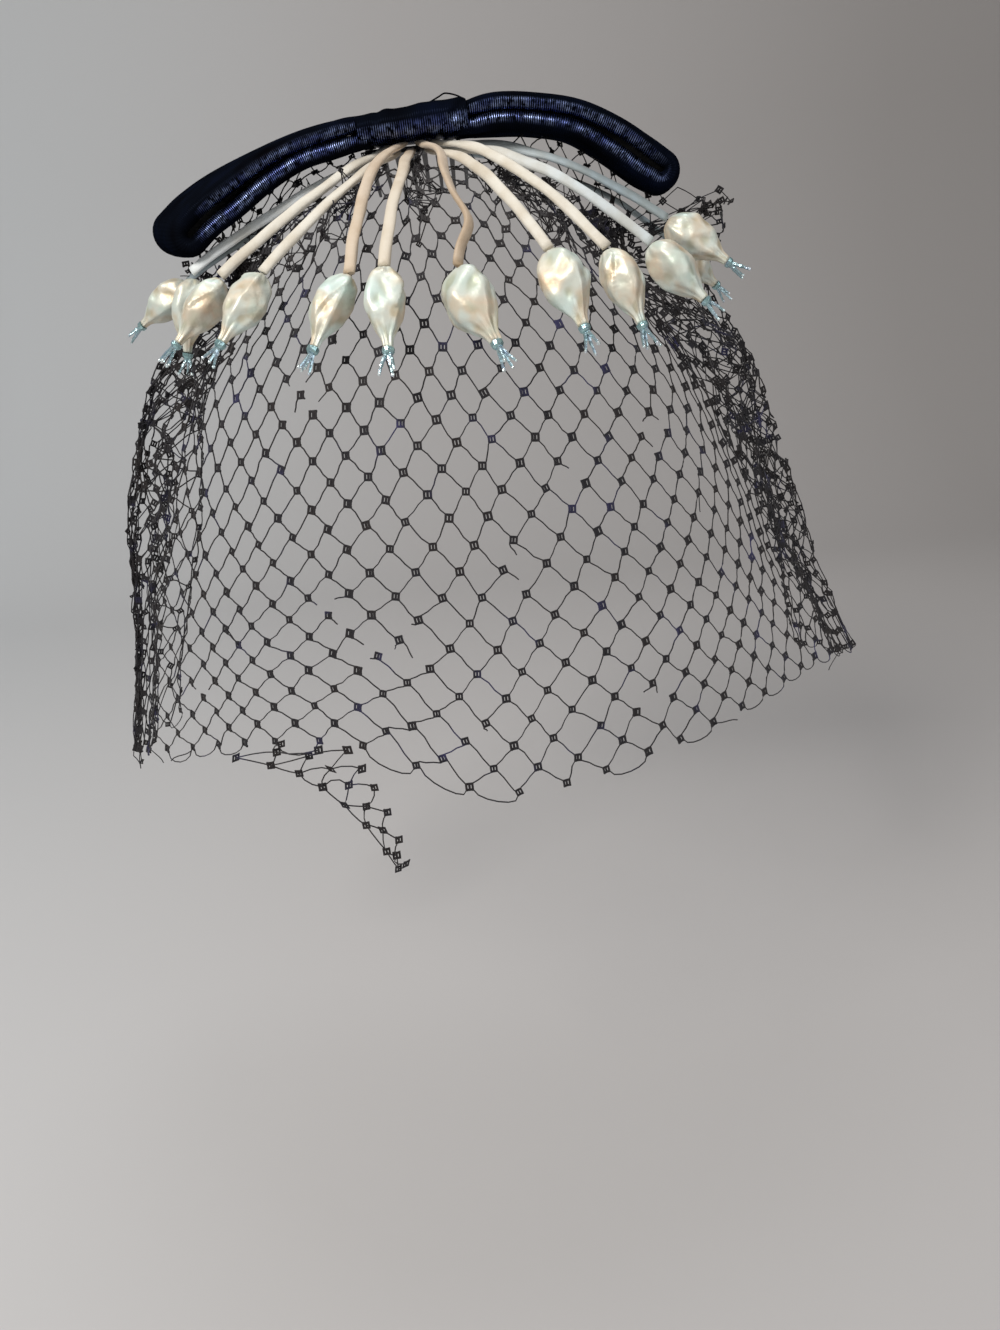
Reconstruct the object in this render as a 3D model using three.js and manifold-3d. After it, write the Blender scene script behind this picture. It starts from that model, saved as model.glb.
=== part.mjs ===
// Birdcage-veil fascinator: a satin bow over a fan of wired stems with satin buds, and a net veil.
// Millimetres, +Z up, +X towards the wearer's left ear, the face looks along -Y.
// The origin is the point of the crown that the fascinator sits on.
import * as THREE from 'three';
import Module from 'manifold-3d';
import { mergeVertices } from 'three/addons/utils/BufferGeometryUtils.js';

const wasm = await Module();
wasm.setup();

const SEAM_GAP = 0.3; // clearance between pieces that are sewn or pressed together

// How square each rounded section is: 1 is an ellipse, and less is closer to a rectangle.
const SECTION = {
  band: { across: 0.45, through: 0.8 },
  knot: { across: 0.5, through: 0.62 },
  stem: { across: 0.9, through: 0.9 },
};

// ---------------------------------------------------------------- colours and finishes
const FINISH = {
  satin: { color: 0x12132f, roughness: 0.45, metalness: 0 },
  cord: { color: 0xe9dccb, roughness: 0.55, metalness: 0 },
  pearl: { color: 0xe6dcc2, roughness: 0.35, metalness: 0 },
  tinsel: { color: 0xa9c4cf, roughness: 0.25, metalness: 0.6 },
  net: { color: 0x15161f, roughness: 0.8, metalness: 0 },
  comb: { color: 0x1a1a1c, roughness: 0.4, metalness: 0 },
};

// ---------------------------------------------------------------- bow
const PAD = 4.2; // thickness of one padded satin layer
const BOW_HEIGHT = 12; // middle of the knot above the crown

const KNOT = { halfWidth: 15.4, halfDepth: 18.5, halfHeight: 4.7, lift: 1, endPinch: 0.93 };

// One row a station, from the knot to the tip, along the middle of the band. x: distance from
// the knot's middle, z: height of the middle between the layers, apart: distance between the
// layers' middles, deep: half the band's width, lift and flare: how far the back edge rises and
// reaches out past the middle, and the front edge falls short of it.
const LEFT_LOOP = [
  { x: 15.8, z: 11.2, apart: 4.6, deep: 17.5, lift: 1.8, flare: 0.0 },
  { x: 24.0, z: 10.4, apart: 4.5, deep: 18.5, lift: 2.5, flare: 1.0 },
  { x: 34.0, z: 8.5, apart: 4.5, deep: 19.5, lift: 2.5, flare: 2.5 },
  { x: 46.0, z: 4.3, apart: 5.2, deep: 20.5, lift: 2.6, flare: 4.5 },
  { x: 58.0, z: -1.1, apart: 6.0, deep: 21.0, lift: 2.9, flare: 6.5 },
  { x: 67.0, z: -6.0, apart: 6.3, deep: 20.5, lift: 2.2, flare: 7.5 },
  { x: 72.8, z: -10.4, apart: 6.4, deep: 19.5, lift: 1.5, flare: 8.0 },
];
const RIGHT_LOOP = [
  { x: 15.8, z: 12.0, apart: 4.8, deep: 17.5, lift: 1.2, flare: 0.0 },
  { x: 24.0, z: 12.3, apart: 4.5, deep: 18.5, lift: 0.6, flare: 0.4 },
  { x: 34.0, z: 11.4, apart: 4.5, deep: 19.5, lift: 0.8, flare: 0.8 },
  { x: 46.0, z: 8.7, apart: 4.8, deep: 20.5, lift: 1.0, flare: 1.4 },
  { x: 57.0, z: 2.6, apart: 5.6, deep: 21.0, lift: 0.5, flare: 2.0 },
  { x: 66.0, z: -3.7, apart: 6.2, deep: 20.5, lift: 0.3, flare: 2.4 },
  { x: 70.7, z: -6.7, apart: 6.0, deep: 19.5, lift: 0.3, flare: 2.6 },
];

// ---------------------------------------------------------------- stems, buds and stamens
const STEM = { wide: 3.6, thick: 2.0, rootRadius: 9.5, rootZ: 5.6, layerStep: 2.1, dome: 1.8 };
const BEND_CLEARANCE = 1.4; // how far a bud stands off a stem that it leaves at a right angle

// One row a stem, from the wearer's right ear to the left. root and tip: azimuth of the two ends
// in degrees, 0 in front; reach and drop: the tip's distance from the axis and its height;
// sway and sag: how far the stem bulges sideways and hangs down at its middle; out, side, down:
// direction in which its bud points, away from the axis, to the wearer's left, and down.
const STEMS = [
  { root: -80, tip: -101, reach: 78, drop: -24, sway: 0, sag: 7, out: 0.80, side: -0.10, down: 0.55 },
  { root: -66, tip: -78, reach: 69, drop: -22, sway: 2, sag: 3, out: 0.30, side: 0.05, down: 0.90 },
  { root: -50, tip: -58, reach: 65, drop: -24, sway: 4, sag: 3, out: 0.60, side: -0.20, down: 0.78 },
  { root: -35, tip: -38, reach: 66, drop: -24, sway: 4, sag: 1, out: 0.60, side: -0.22, down: 0.76 },
  { root: -20, tip: -15, reach: 68, drop: -26, sway: 0, sag: 0, out: 0.58, side: -0.32, down: 0.76 },
  { root: -8, tip: -7, reach: 71, drop: -25, sway: 1, sag: 0, out: 0.55, side: 0.04, down: 0.84 },
  { root: 8, tip: 7, reach: 72, drop: -27, sway: 3, sag: 0, out: 0.55, side: 0.28, down: 0.80 },
  { root: 22, tip: 26, reach: 71, drop: -25, sway: 1, sag: 0, out: 0.52, side: 0.08, down: 0.83 },
  { root: 36, tip: 42, reach: 70, drop: -26, sway: 0, sag: 0, out: 0.52, side: -0.02, down: 0.84 },
  { root: 50, tip: 61, reach: 70, drop: -26, sway: -1, sag: -1, out: 0.60, side: 0.16, down: 0.76 },
  { root: 65, tip: 79, reach: 71, drop: -20, sway: -1, sag: 0, out: 0.80, side: 0.00, down: 0.58 },
  { root: 80, tip: 102, reach: 78, drop: -25, sway: 0, sag: 1, out: 0.66, side: 0.10, down: 0.72 },
];

// Outline of a bud: distance from the stem's end, and radius there.
const BUD = [
  { at: 0.0, radius: 0.0 },
  { at: 0.3, radius: 2.3 },
  { at: 3.0, radius: 5.3 },
  { at: 7.5, radius: 6.5 },
  { at: 11.5, radius: 6.0 },
  { at: 15.5, radius: 4.0 },
  { at: 19.0, radius: 2.2 },
  { at: 20.5, radius: 1.6 },
  { at: 20.6, radius: 0.0 },
];
const BUD_LENGTH = BUD.at(-1).at;

const PRONG = { length: 7.0, base: 0.75, tip: 0.45, splay: 0.42, sides: 6 };
const PRONGS = { few: 3, many: 4, collar: 1.5, collarHeight: 1.2 };

// ---------------------------------------------------------------- veil
const NET = 1.2; // thickness of the solid that stands for the net and its knots

// One row a level, from the top edge to the hem. v: share of the net's height; then the points
// that the level passes through, in front, at the temple, beside the ear and at the back edge.
const VEIL = [
  { v: 0.0, frontY: -3, frontZ: 1.7, templeX: 34, templeY: -4, templeZ: -6.5,
    sideX: 56, sideY: 0, sideZ: -19, wingX: 70, wingY: 14, wingZ: -23 },
  { v: 0.12, frontY: -31, frontZ: -2.6, templeX: 37, templeY: -25, templeZ: -13,
    sideX: 57, sideY: -4, sideZ: -26, wingX: 72, wingY: 24, wingZ: -31 },
  { v: 0.28, frontY: -58, frontZ: -21, templeX: 45, templeY: -42, templeZ: -31,
    sideX: 64, sideY: -7, sideZ: -37, wingX: 83, wingY: 33, wingZ: -39 },
  { v: 0.42, frontY: -74, frontZ: -45, templeX: 57, templeY: -51, templeZ: -52,
    sideX: 81, sideY: -8, sideZ: -55, wingX: 102, wingY: 36, wingZ: -55 },
  { v: 0.6, frontY: -83, frontZ: -79, templeX: 66, templeY: -57, templeZ: -85,
    sideX: 98, sideY: -6, sideZ: -88, wingX: 111, wingY: 39, wingZ: -87 },
  { v: 0.8, frontY: -90, frontZ: -122, templeX: 75, templeY: -60, templeZ: -126,
    sideX: 113, sideY: -3, sideZ: -127, wingX: 118, wingY: 44, wingZ: -126 },
  { v: 1.0, frontY: -94, frontZ: -165, templeX: 84, templeY: -61, templeZ: -167,
    sideX: 131, sideY: 0, sideZ: -169, wingX: 126, wingY: 49, wingZ: -168 },
];
const VEIL_LEAN = 5; // how far the hem swings towards the wearer's left

// The hem's rise and fall, and the dents above it. u: place across the net from -1 at one back
// edge to 1 at the other; rise: height added at the hem; dent: how far the hem is pushed out.
const HEM = [
  { u: -1.0, rise: -14, dent: 0 },
  { u: -0.8, rise: -20, dent: 0 },
  { u: -0.64, rise: -14, dent: -2 },
  { u: -0.5, rise: -6, dent: -4 },
  { u: -0.36, rise: 8, dent: -5 },
  { u: -0.22, rise: 24, dent: -2 },
  { u: -0.16, rise: 13, dent: 3 },
  { u: -0.105, rise: -12, dent: 6 },
  { u: -0.07, rise: 1, dent: 2 },
  { u: 0.04, rise: -3, dent: 0 },
  { u: 0.2, rise: 5, dent: 0 },
  { u: 0.45, rise: 14, dent: -2 },
  { u: 0.62, rise: 10, dent: 0 },
  { u: 0.8, rise: 3, dent: 2 },
  { u: 1.0, rise: 2, dent: 0 },
];
const HEM_START = 0.55; // share of the height above which the hem's shape has died out

// Upright folds on both sides, where the gathered net is fullest.
const FOLDS = { count: 3, from: 0.5, to: 0.98, depth: 5.5, full: 0.45, hemDepth: 1.5 };

const VEIL_COLUMNS = 68;
const VEIL_LEVELS = 18;
const CROWDING = { power: 1.35, share: 0.8 }; // how much closer the columns lie at the sides

// ---------------------------------------------------------------- comb
const COMB = { halfWidth: 15, y: 1, bar: 6, thick: 1.5, z: 5.4, teeth: 8, tooth: 26,
  toothWidth: 1.7, bend: 110 };

// ---------------------------------------------------------------- helpers
const radians = THREE.MathUtils.degToRad;
const lerp = THREE.MathUtils.lerp;
const smooth = THREE.MathUtils.smoothstep;

// Smooth value of one column of a table at a place given by its key column.
function column(rows, key, name, at) {
  const last = rows.length - 1;
  let i = 0;
  while (i < last - 1 && at > rows[i + 1][key]) i++;
  const slope = (k) => {
    const a = rows[Math.max(k - 1, 0)];
    const b = rows[Math.min(k + 1, last)];
    return (b[name] - a[name]) / (b[key] - a[key]);
  };
  const step = rows[i + 1][key] - rows[i][key];
  const t = THREE.MathUtils.clamp((at - rows[i][key]) / step, 0, 1);
  const t2 = t * t;
  const t3 = t2 * t;
  return (2 * t3 - 3 * t2 + 1) * rows[i][name] + (t3 - 2 * t2 + t) * step * slope(i)
    + (3 * t2 - 2 * t3) * rows[i + 1][name] + (t3 - t2) * step * slope(i + 1);
}

function solidOf(positions, faces) {
  const geometry = new THREE.BufferGeometry();
  geometry.setAttribute('position', new THREE.Float32BufferAttribute(positions, 3));
  geometry.setIndex(volume(positions, faces) < 0 ? faces.toReversed() : faces);
  geometry.computeVertexNormals();
  return geometry;
}

function volume(positions, faces) {
  const corner = (i) => new THREE.Vector3().fromArray(positions, 3 * faces[i]);
  let sum = 0;
  for (let i = 0; i < faces.length; i += 3) {
    sum += corner(i).dot(corner(i + 1).cross(corner(i + 2)));
  }
  return sum / 6;
}

// A closed body through a row of rings with the same number of points.
function loft(rings) {
  const count = rings[0].length;
  const positions = rings.flat().flatMap((point) => point.toArray());
  const faces = [];
  for (let r = 0; r < rings.length - 1; r++) {
    for (let k = 0; k < count; k++) {
      const a = r * count + k;
      const b = r * count + ((k + 1) % count);
      faces.push(a, b, b + count, a, b + count, a + count);
    }
  }
  for (const [r, turn] of [[0, 1], [rings.length - 1, -1]]) {
    const middle = positions.length / 3;
    const centre = new THREE.Vector3();
    rings[r].forEach((point) => centre.addScaledVector(point, 1 / count));
    positions.push(...centre.toArray());
    for (let k = 0; k < count; k++) {
      const edge = [r * count + k, r * count + ((k + 1) % count)];
      faces.push(middle, edge[turn > 0 ? 1 : 0], edge[turn > 0 ? 0 : 1]);
    }
  }
  return solidOf(positions, faces);
}

// Points of a rounded oblong, as multiples of its half sizes.
function oblong(count, { across, through }) {
  const power = (value, exponent) => Math.sign(value) * Math.abs(value) ** exponent;
  return Array.from({ length: count }, (_, k) => {
    const angle = (2 * Math.PI * (k + 0.5)) / count;
    return { u: power(Math.cos(angle), across), v: power(Math.sin(angle), through) };
  });
}

function place(centre, alongU, alongV, { u, v }) {
  return centre.clone().addScaledVector(alongU, u).addScaledVector(alongV, v);
}

const group = new THREE.Group();

function add(name, geometry, finish) {
  const mesh = new THREE.Mesh(geometry, new THREE.MeshStandardMaterial(FINISH[finish]));
  mesh.name = name;
  group.add(mesh);
  return mesh;
}

// ---------------------------------------------------------------- bow
// Middle line of a loop: out along the upper layer, round the tip and back along the lower one.
function loopPath(rows, side) {
  const outward = 8;
  const round = 4;
  const first = rows[0].x;
  const length = rows.at(-1).x - first;
  const middle = (x) => new THREE.Vector3(side * x, 0, column(rows, 'x', 'z', x));
  const frame = (x) => {
    const along = middle(x + 0.1).sub(middle(x - 0.1)).normalize();
    const up = new THREE.Vector3(-along.z * side, 0, along.x * side);
    return { at: middle(x), along, up, apart: column(rows, 'x', 'apart', x) / 2, x };
  };
  const stations = [];
  for (let i = 0; i < outward; i++) {
    const f = frame(first + (length * i) / outward);
    stations.push({ x: f.x, point: f.at.clone().addScaledVector(f.up, f.apart) });
  }
  const tip = frame(rows.at(-1).x - 0.1);
  for (let i = 0; i <= round; i++) {
    const turn = (Math.PI * i) / round;
    const point = tip.at.clone().addScaledVector(tip.up, tip.apart * Math.cos(turn))
      .addScaledVector(tip.along, tip.apart * Math.sin(turn));
    stations.push({ x: rows.at(-1).x, point });
  }
  for (let i = outward - 1; i >= 0; i--) {
    const f = frame(first + (length * i) / outward);
    stations.push({ x: f.x, point: f.at.clone().addScaledVector(f.up, -f.apart) });
  }
  return stations;
}

function bowLoop(rows, side) {
  const stations = loopPath(rows, side);
  const last = stations.length - 1;
  const outline = oblong(12, SECTION.band);
  const rings = stations.map(({ x, point }, i) => {
    const before = stations[Math.max(i - 1, 0)].point;
    const after = stations[Math.min(i + 1, last)].point;
    const along = after.clone().sub(before).normalize();
    if (i === 0 || i === last) along.set(side * Math.sign(last / 2 - i), 0, 0);
    const back = new THREE.Vector3(side * column(rows, 'x', 'flare', x),
      column(rows, 'x', 'deep', x), column(rows, 'x', 'lift', x));
    const out = back.clone().cross(along).normalize().multiplyScalar((side * PAD) / 2);
    if (i === 0 || i === last) out.x = 0;
    return outline.map((corner) => place(point, back, out, corner));
  });
  return loft(rings);
}

function bowKnot() {
  const outline = oblong(20, SECTION.knot);
  const steps = 6;
  const rings = Array.from({ length: steps + 1 }, (_, i) => {
    const share = (2 * i) / steps - 1;
    const full = lerp(1, KNOT.endPinch, share ** 4);
    const centre = new THREE.Vector3(share * KNOT.halfWidth, 0, BOW_HEIGHT);
    const back = new THREE.Vector3(0, KNOT.halfDepth * full, KNOT.lift);
    const up = new THREE.Vector3(0, 0, KNOT.halfHeight * full);
    return outline.map((corner) => place(centre, back, up, corner));
  });
  return loft(rings);
}

// ---------------------------------------------------------------- stems, buds and stamens
function polar(azimuth, radius, z) {
  const angle = radians(azimuth);
  return new THREE.Vector3(radius * Math.sin(angle), -radius * Math.cos(angle), z);
}

function stemPoint(row, index, t) {
  const rootZ = STEM.rootZ - (index % 2) * STEM.layerStep;
  const azimuth = lerp(row.root, row.tip, t);
  const point = polar(azimuth, lerp(STEM.rootRadius, row.reach, t),
    lerp(rootZ, row.drop, t ** STEM.dome));
  const sideways = polar(azimuth + 90, 1, 0);
  const bulge = Math.sin(Math.PI * t);
  point.z -= row.sag * bulge;
  return point.addScaledVector(sideways, row.sway * bulge);
}

function stem(row, index) {
  const steps = 11;
  const outline = oblong(8, SECTION.stem);
  const rings = Array.from({ length: steps + 1 }, (_, i) => {
    const t = i / steps;
    const along = stemPoint(row, index, t + 0.01).sub(stemPoint(row, index, t - 0.01 * (t > 0)));
    along.normalize();
    const wide = polar(lerp(row.root, row.tip, t) + 90, 1, 0);
    wide.addScaledVector(along, -wide.dot(along)).normalize();
    const out = along.clone().cross(wide).multiplyScalar(-STEM.thick / 2);
    wide.multiplyScalar(STEM.wide / 2);
    return outline.map((corner) => place(stemPoint(row, index, t), wide, out, corner));
  });
  return loft(rings);
}

function budAxis(row) {
  const outwards = polar(row.tip, row.out, 0);
  return outwards.add(new THREE.Vector3(row.side, 0, -row.down)).normalize();
}

function aim(mesh, from, axis) {
  mesh.quaternion.setFromUnitVectors(new THREE.Vector3(0, 1, 0), axis);
  mesh.position.copy(from);
}

function bud() {
  return new THREE.LatheGeometry(BUD.map(({ at, radius }) => new THREE.Vector2(radius, at)), 10);
}

function manifoldOf(geometry) {
  const bare = geometry.clone();
  bare.deleteAttribute('normal');
  bare.deleteAttribute('uv');
  const merged = mergeVertices(bare, 1e-4);
  return new wasm.Manifold(new wasm.Mesh({
    numProp: 3,
    vertProperties: merged.attributes.position.array,
    triVerts: new Uint32Array(merged.index.array),
  }));
}

function stamens(index) {
  const collar = new THREE.CylinderGeometry(PRONGS.collar * 0.8, PRONGS.collar,
    PRONGS.collarHeight, 8).translate(0, PRONGS.collarHeight / 2, 0);
  let body = manifoldOf(collar);
  const count = index % 2 ? PRONGS.few : PRONGS.many;
  for (let k = 0; k < count; k++) {
    const prong = new THREE.CylinderGeometry(PRONG.tip, PRONG.base, PRONG.length, PRONG.sides);
    prong.translate(0, PRONG.length / 2 + 0.2, 0);
    prong.rotateZ(-PRONG.splay * (k % 2 ? 1 : 0.7));
    prong.rotateY((2 * Math.PI * (k + 0.3 * index)) / count);
    body = body.add(manifoldOf(prong));
  }
  const { vertProperties, triVerts } = body.getMesh();
  return solidOf(Array.from(vertProperties), Array.from(triVerts));
}

// ---------------------------------------------------------------- veil
// Place on the outer face of the veil: u across from back edge to back edge, v down from the
// top edge to the hem.
function veilPoint(u, v) {
  const at = (name) => column(VEIL, 'v', name, v);
  const side = Math.sign(u) || 1;
  const across = Math.abs(u) * 3;
  const stops = [
    { s: -1, x: -at('templeX'), y: at('templeY'), z: at('templeZ') },
    { s: 0, x: 0, y: at('frontY'), z: at('frontZ') },
    { s: 1, x: at('templeX'), y: at('templeY'), z: at('templeZ') },
    { s: 2, x: at('sideX'), y: at('sideY'), z: at('sideZ') },
    { s: 3, x: at('wingX'), y: at('wingY'), z: at('wingZ') },
  ];
  const point = new THREE.Vector3(side * column(stops, 's', 'x', across),
    column(stops, 's', 'y', across), column(stops, 's', 'z', across));
  const low = smooth(v, HEM_START, 1);
  const outwards = new THREE.Vector3(point.x, point.y, 0).normalize();
  point.z += column(HEM, 'u', 'rise', u) * low * v;
  point.addScaledVector(outwards, column(HEM, 'u', 'dent', u) * low + foldDepth(u, v));
  point.x += VEIL_LEAN * v ** 3;
  return point;
}

function foldDepth(u, v) {
  const share = (Math.abs(u) - FOLDS.from) / (FOLDS.to - FOLDS.from);
  if (share <= 0 || share >= 1) return 0;
  const height = v < FOLDS.full ? smooth(v, 0, FOLDS.full)
    : lerp(1, FOLDS.hemDepth / FOLDS.depth, smooth(v, FOLDS.full, 1));
  const ends = Math.sqrt(Math.sin(Math.PI * share));
  return FOLDS.depth * height * ends * Math.sin(2 * Math.PI * FOLDS.count * share);
}

function veilNormal(u, v) {
  const step = 0.004;
  const across = veilPoint(Math.min(u + step, 1), v).sub(veilPoint(Math.max(u - step, -1), v));
  const down = veilPoint(u, Math.min(v + step, 1)).sub(veilPoint(u, Math.max(v - step, 0)));
  return down.cross(across).normalize();
}

// Columns lie closer together where the side folds are.
function veilColumn(i) {
  const share = (2 * i) / VEIL_COLUMNS - 1;
  const crowded = 1 - (1 - Math.abs(share)) ** CROWDING.power;
  return Math.sign(share) * lerp(Math.abs(share), crowded, CROWDING.share);
}

function veil() {
  const width = VEIL_COLUMNS + 1;
  const layer = width * (VEIL_LEVELS + 1);
  const outer = [];
  const inner = [];
  for (let r = 0; r <= VEIL_LEVELS; r++) {
    for (let c = 0; c <= VEIL_COLUMNS; c++) {
      const u = veilColumn(c);
      const v = r / VEIL_LEVELS;
      const point = veilPoint(u, v);
      outer.push(...point.toArray());
      inner.push(...point.addScaledVector(veilNormal(u, v), -NET).toArray());
    }
  }
  const faces = [];
  const quad = (a, b, c, d) => faces.push(a, b, c, a, c, d);
  for (let r = 0; r < VEIL_LEVELS; r++) {
    for (let c = 0; c < VEIL_COLUMNS; c++) {
      const a = r * width + c;
      quad(a, a + 1, a + 1 + width, a + width);
      quad(layer + a, layer + a + width, layer + a + 1 + width, layer + a + 1);
    }
  }
  for (let c = 0; c < VEIL_COLUMNS; c++) {
    const bottom = VEIL_LEVELS * width + c;
    quad(c, layer + c, layer + c + 1, c + 1);
    quad(bottom, bottom + 1, layer + bottom + 1, layer + bottom);
  }
  for (let r = 0; r < VEIL_LEVELS; r++) {
    const start = r * width;
    const end = start + VEIL_COLUMNS;
    quad(start, start + width, layer + start + width, layer + start);
    quad(end, layer + end, layer + end + width, end + width);
  }
  return solidOf([...outer, ...inner], faces);
}

// ---------------------------------------------------------------- comb
function hairComb() {
  const outline = new THREE.Shape();
  const pitch = (2 * COMB.halfWidth - COMB.toothWidth) / (COMB.teeth - 1);
  outline.moveTo(COMB.halfWidth, 0);
  for (let k = COMB.teeth - 1; k >= 0; k--) {
    const left = k * pitch - COMB.halfWidth;
    const right = left + COMB.toothWidth;
    outline.lineTo(right, COMB.bar);
    outline.lineTo(right - COMB.toothWidth * 0.25, COMB.bar + COMB.tooth);
    outline.lineTo(left + COMB.toothWidth * 0.25, COMB.bar + COMB.tooth);
    outline.lineTo(left, COMB.bar);
  }
  outline.lineTo(-COMB.halfWidth, 0);
  outline.closePath();
  const comb = new THREE.ExtrudeGeometry(outline, { depth: COMB.thick, bevelEnabled: false });
  const spots = comb.attributes.position;
  for (let i = 0; i < spots.count; i++) {
    spots.setZ(i, spots.getZ(i) - spots.getY(i) ** 2 / COMB.bend);
  }
  return comb.translate(0, COMB.y, COMB.z);
}

// ---------------------------------------------------------------- assembly
add('bow_loop_left', bowLoop(LEFT_LOOP, -1), 'satin');
add('bow_loop_right', bowLoop(RIGHT_LOOP, 1), 'satin');
add('bow_knot', bowKnot(), 'satin');

STEMS.forEach((row, index) => {
  const number = String(index + 1).padStart(2, '0');
  const tip = stemPoint(row, index, 1);
  const axis = budAxis(row);
  const bend = tip.clone().sub(stemPoint(row, index, 0.99)).normalize().cross(axis).length();
  const budFoot = tip.clone().addScaledVector(axis, SEAM_GAP + bend * BEND_CLEARANCE);
  const budEnd = budFoot.clone().addScaledVector(axis, BUD_LENGTH + SEAM_GAP);
  add(`stem_${number}`, stem(row, index), 'cord');
  aim(add(`bud_${number}`, bud(), 'pearl'), budFoot, axis);
  aim(add(`stamens_${number}`, stamens(index), 'tinsel'), budEnd, axis);
});

add('veil', veil(), 'net');
add('hair_comb', hairComb(), 'comb');

export default group;
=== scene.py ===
"""Looks of a bow-and-bud fascinator with a net veil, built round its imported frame.

Lengths in this file are in millimetres unless a name says otherwise, and every piece is written
in metres. +Z is up, the wearer looks along -Y, and the origin is where the fascinator sits.
"""
import math
from types import SimpleNamespace as Sizes
import bpy
import numpy as np
from mathutils import Matrix, Vector


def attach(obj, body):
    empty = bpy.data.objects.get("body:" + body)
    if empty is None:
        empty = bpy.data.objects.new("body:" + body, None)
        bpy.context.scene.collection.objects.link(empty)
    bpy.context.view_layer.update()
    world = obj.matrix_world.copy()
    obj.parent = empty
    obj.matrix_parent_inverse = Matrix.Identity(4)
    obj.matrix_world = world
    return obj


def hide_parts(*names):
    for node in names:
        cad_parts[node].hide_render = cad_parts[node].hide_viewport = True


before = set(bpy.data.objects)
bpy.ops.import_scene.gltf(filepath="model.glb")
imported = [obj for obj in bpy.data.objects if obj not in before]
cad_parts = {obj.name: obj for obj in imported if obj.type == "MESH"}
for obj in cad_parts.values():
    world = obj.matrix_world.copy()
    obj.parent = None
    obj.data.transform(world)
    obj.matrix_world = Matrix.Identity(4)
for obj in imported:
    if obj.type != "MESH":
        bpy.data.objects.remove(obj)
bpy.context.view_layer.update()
MM = 0.001
RNG = np.random.default_rng(20)


def table(names, rows):
    """One object for each row, with its values under the column names."""
    return [Sizes(**dict(zip(names.split(), row))) for row in rows]


def by_column(names, rows):
    """One object that holds each named column as an array."""
    columns = zip(names.split(), zip(*rows))
    return Sizes(**{name: np.array(column, float) for name, column in columns})


# ---------------------------------------------------------------- camera, stage and light
CAMERA = Sizes(x=9.6, y=-328.0, z=-26.0, pitch=22.0, roll=5.6)
FOCAL_PIXELS = 1000.0
FRAME_HEIGHT_PIXELS = 1330.0
SENSOR = 36.0
# The lights' places and sizes, and the point they face, are in metres.
LIGHTS = table("name place size watts colour", [
    ("key", (-0.55, -0.75, 0.75), 0.4, 11.5, (1, 0.97, 0.93)),
    ("fill", (0.75, -0.65, 0.25), 0.7, 2.2, (0.93, 0.96, 1)),
    ("crown", (0.05, 0.15, 0.95), 0.5, 3.0, (0.95, 0.97, 1)),
])
LIT_POINT = (0, -0.02, -0.04)
WORLD = Sizes(colour=(0.83, 0.82, 0.81, 1), strength=0.27)
SWEEP = Sizes(floor=-330.0, reach=7000.0, depth=1100.0, radius=450.0, height=2600.0, steps=16)


def make_camera():
    data = bpy.data.cameras.new("camera")
    data.sensor_width = SENSOR
    data.lens = SENSOR * FOCAL_PIXELS / FRAME_HEIGHT_PIXELS
    data.clip_start, data.clip_end = 0.01, 20
    camera = bpy.data.objects.new("camera", data)
    bpy.context.scene.collection.objects.link(camera)
    place = Vector((CAMERA.x, CAMERA.y, CAMERA.z)) * MM
    pitch = Matrix.Rotation(math.radians(90 - CAMERA.pitch), 4, "X")
    roll = Matrix.Rotation(math.radians(-CAMERA.roll), 4, "Z")
    camera.matrix_world = Matrix.Translation(place) @ pitch @ roll
    bpy.context.scene.camera = camera


def make_lights():
    for row in LIGHTS:
        data = bpy.data.lights.new(row.name, "AREA")
        data.shape = "DISK"
        data.size, data.energy, data.color = row.size, row.watts, row.colour
        light = bpy.data.objects.new(row.name, data)
        bpy.context.scene.collection.objects.link(light)
        light.location = row.place
        aim = Vector(LIT_POINT) - Vector(row.place)
        light.rotation_euler = aim.to_track_quat("-Z", "Y").to_euler()
    world = bpy.data.worlds.new("studio")
    world.use_nodes = True
    background = world.node_tree.nodes["Background"]
    background.inputs["Color"].default_value = WORLD.colour
    background.inputs["Strength"].default_value = WORLD.strength
    bpy.context.scene.world = world
    bpy.context.scene.view_settings.view_transform = "Standard"


def make_sweep():
    """A paper floor that curves up into a backdrop, with painted light: lighter and cooler towards -X,
    darker and warmer towards +X.
    """
    start = SWEEP.depth - SWEEP.radius
    turn = math.pi / 2 * np.arange(1, SWEEP.steps + 1) / SWEEP.steps
    y = [-SWEEP.reach, start, *(start + SWEEP.radius * np.sin(turn)), SWEEP.depth]
    rise = [0, 0, *(SWEEP.radius * (1 - np.cos(turn))), SWEEP.height]
    points = [(x, a, SWEEP.floor + b) for a, b in zip(y, rise) for x in (-SWEEP.reach, SWEEP.reach)]
    faces = [(k, k + 1, k + 3, k + 2) for k in range(0, len(points) - 2, 2)]
    shade = Shade("sweep_paper", {"Roughness": 0.9})
    # Painted light: the paper's colour runs from light and cool at -X to dark and warm at +X.
    across = shade.math("MULTIPLY_ADD", shade.add("SeparateXYZ", "X", {0: shade.place}), 0.7, 0.5)
    shade.set("Base Color", shade.ramp(across, [(0.1, (0.70, 0.72, 0.735)), (0.45, (0.57, 0.555, 0.55)),
                                                (0.9, (0.44, 0.42, 0.41))]))
    shade.bump(shade.noise(90, 3), 0.05, 0.0004)
    make_piece("sweep", points, faces, shade.material)


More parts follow.
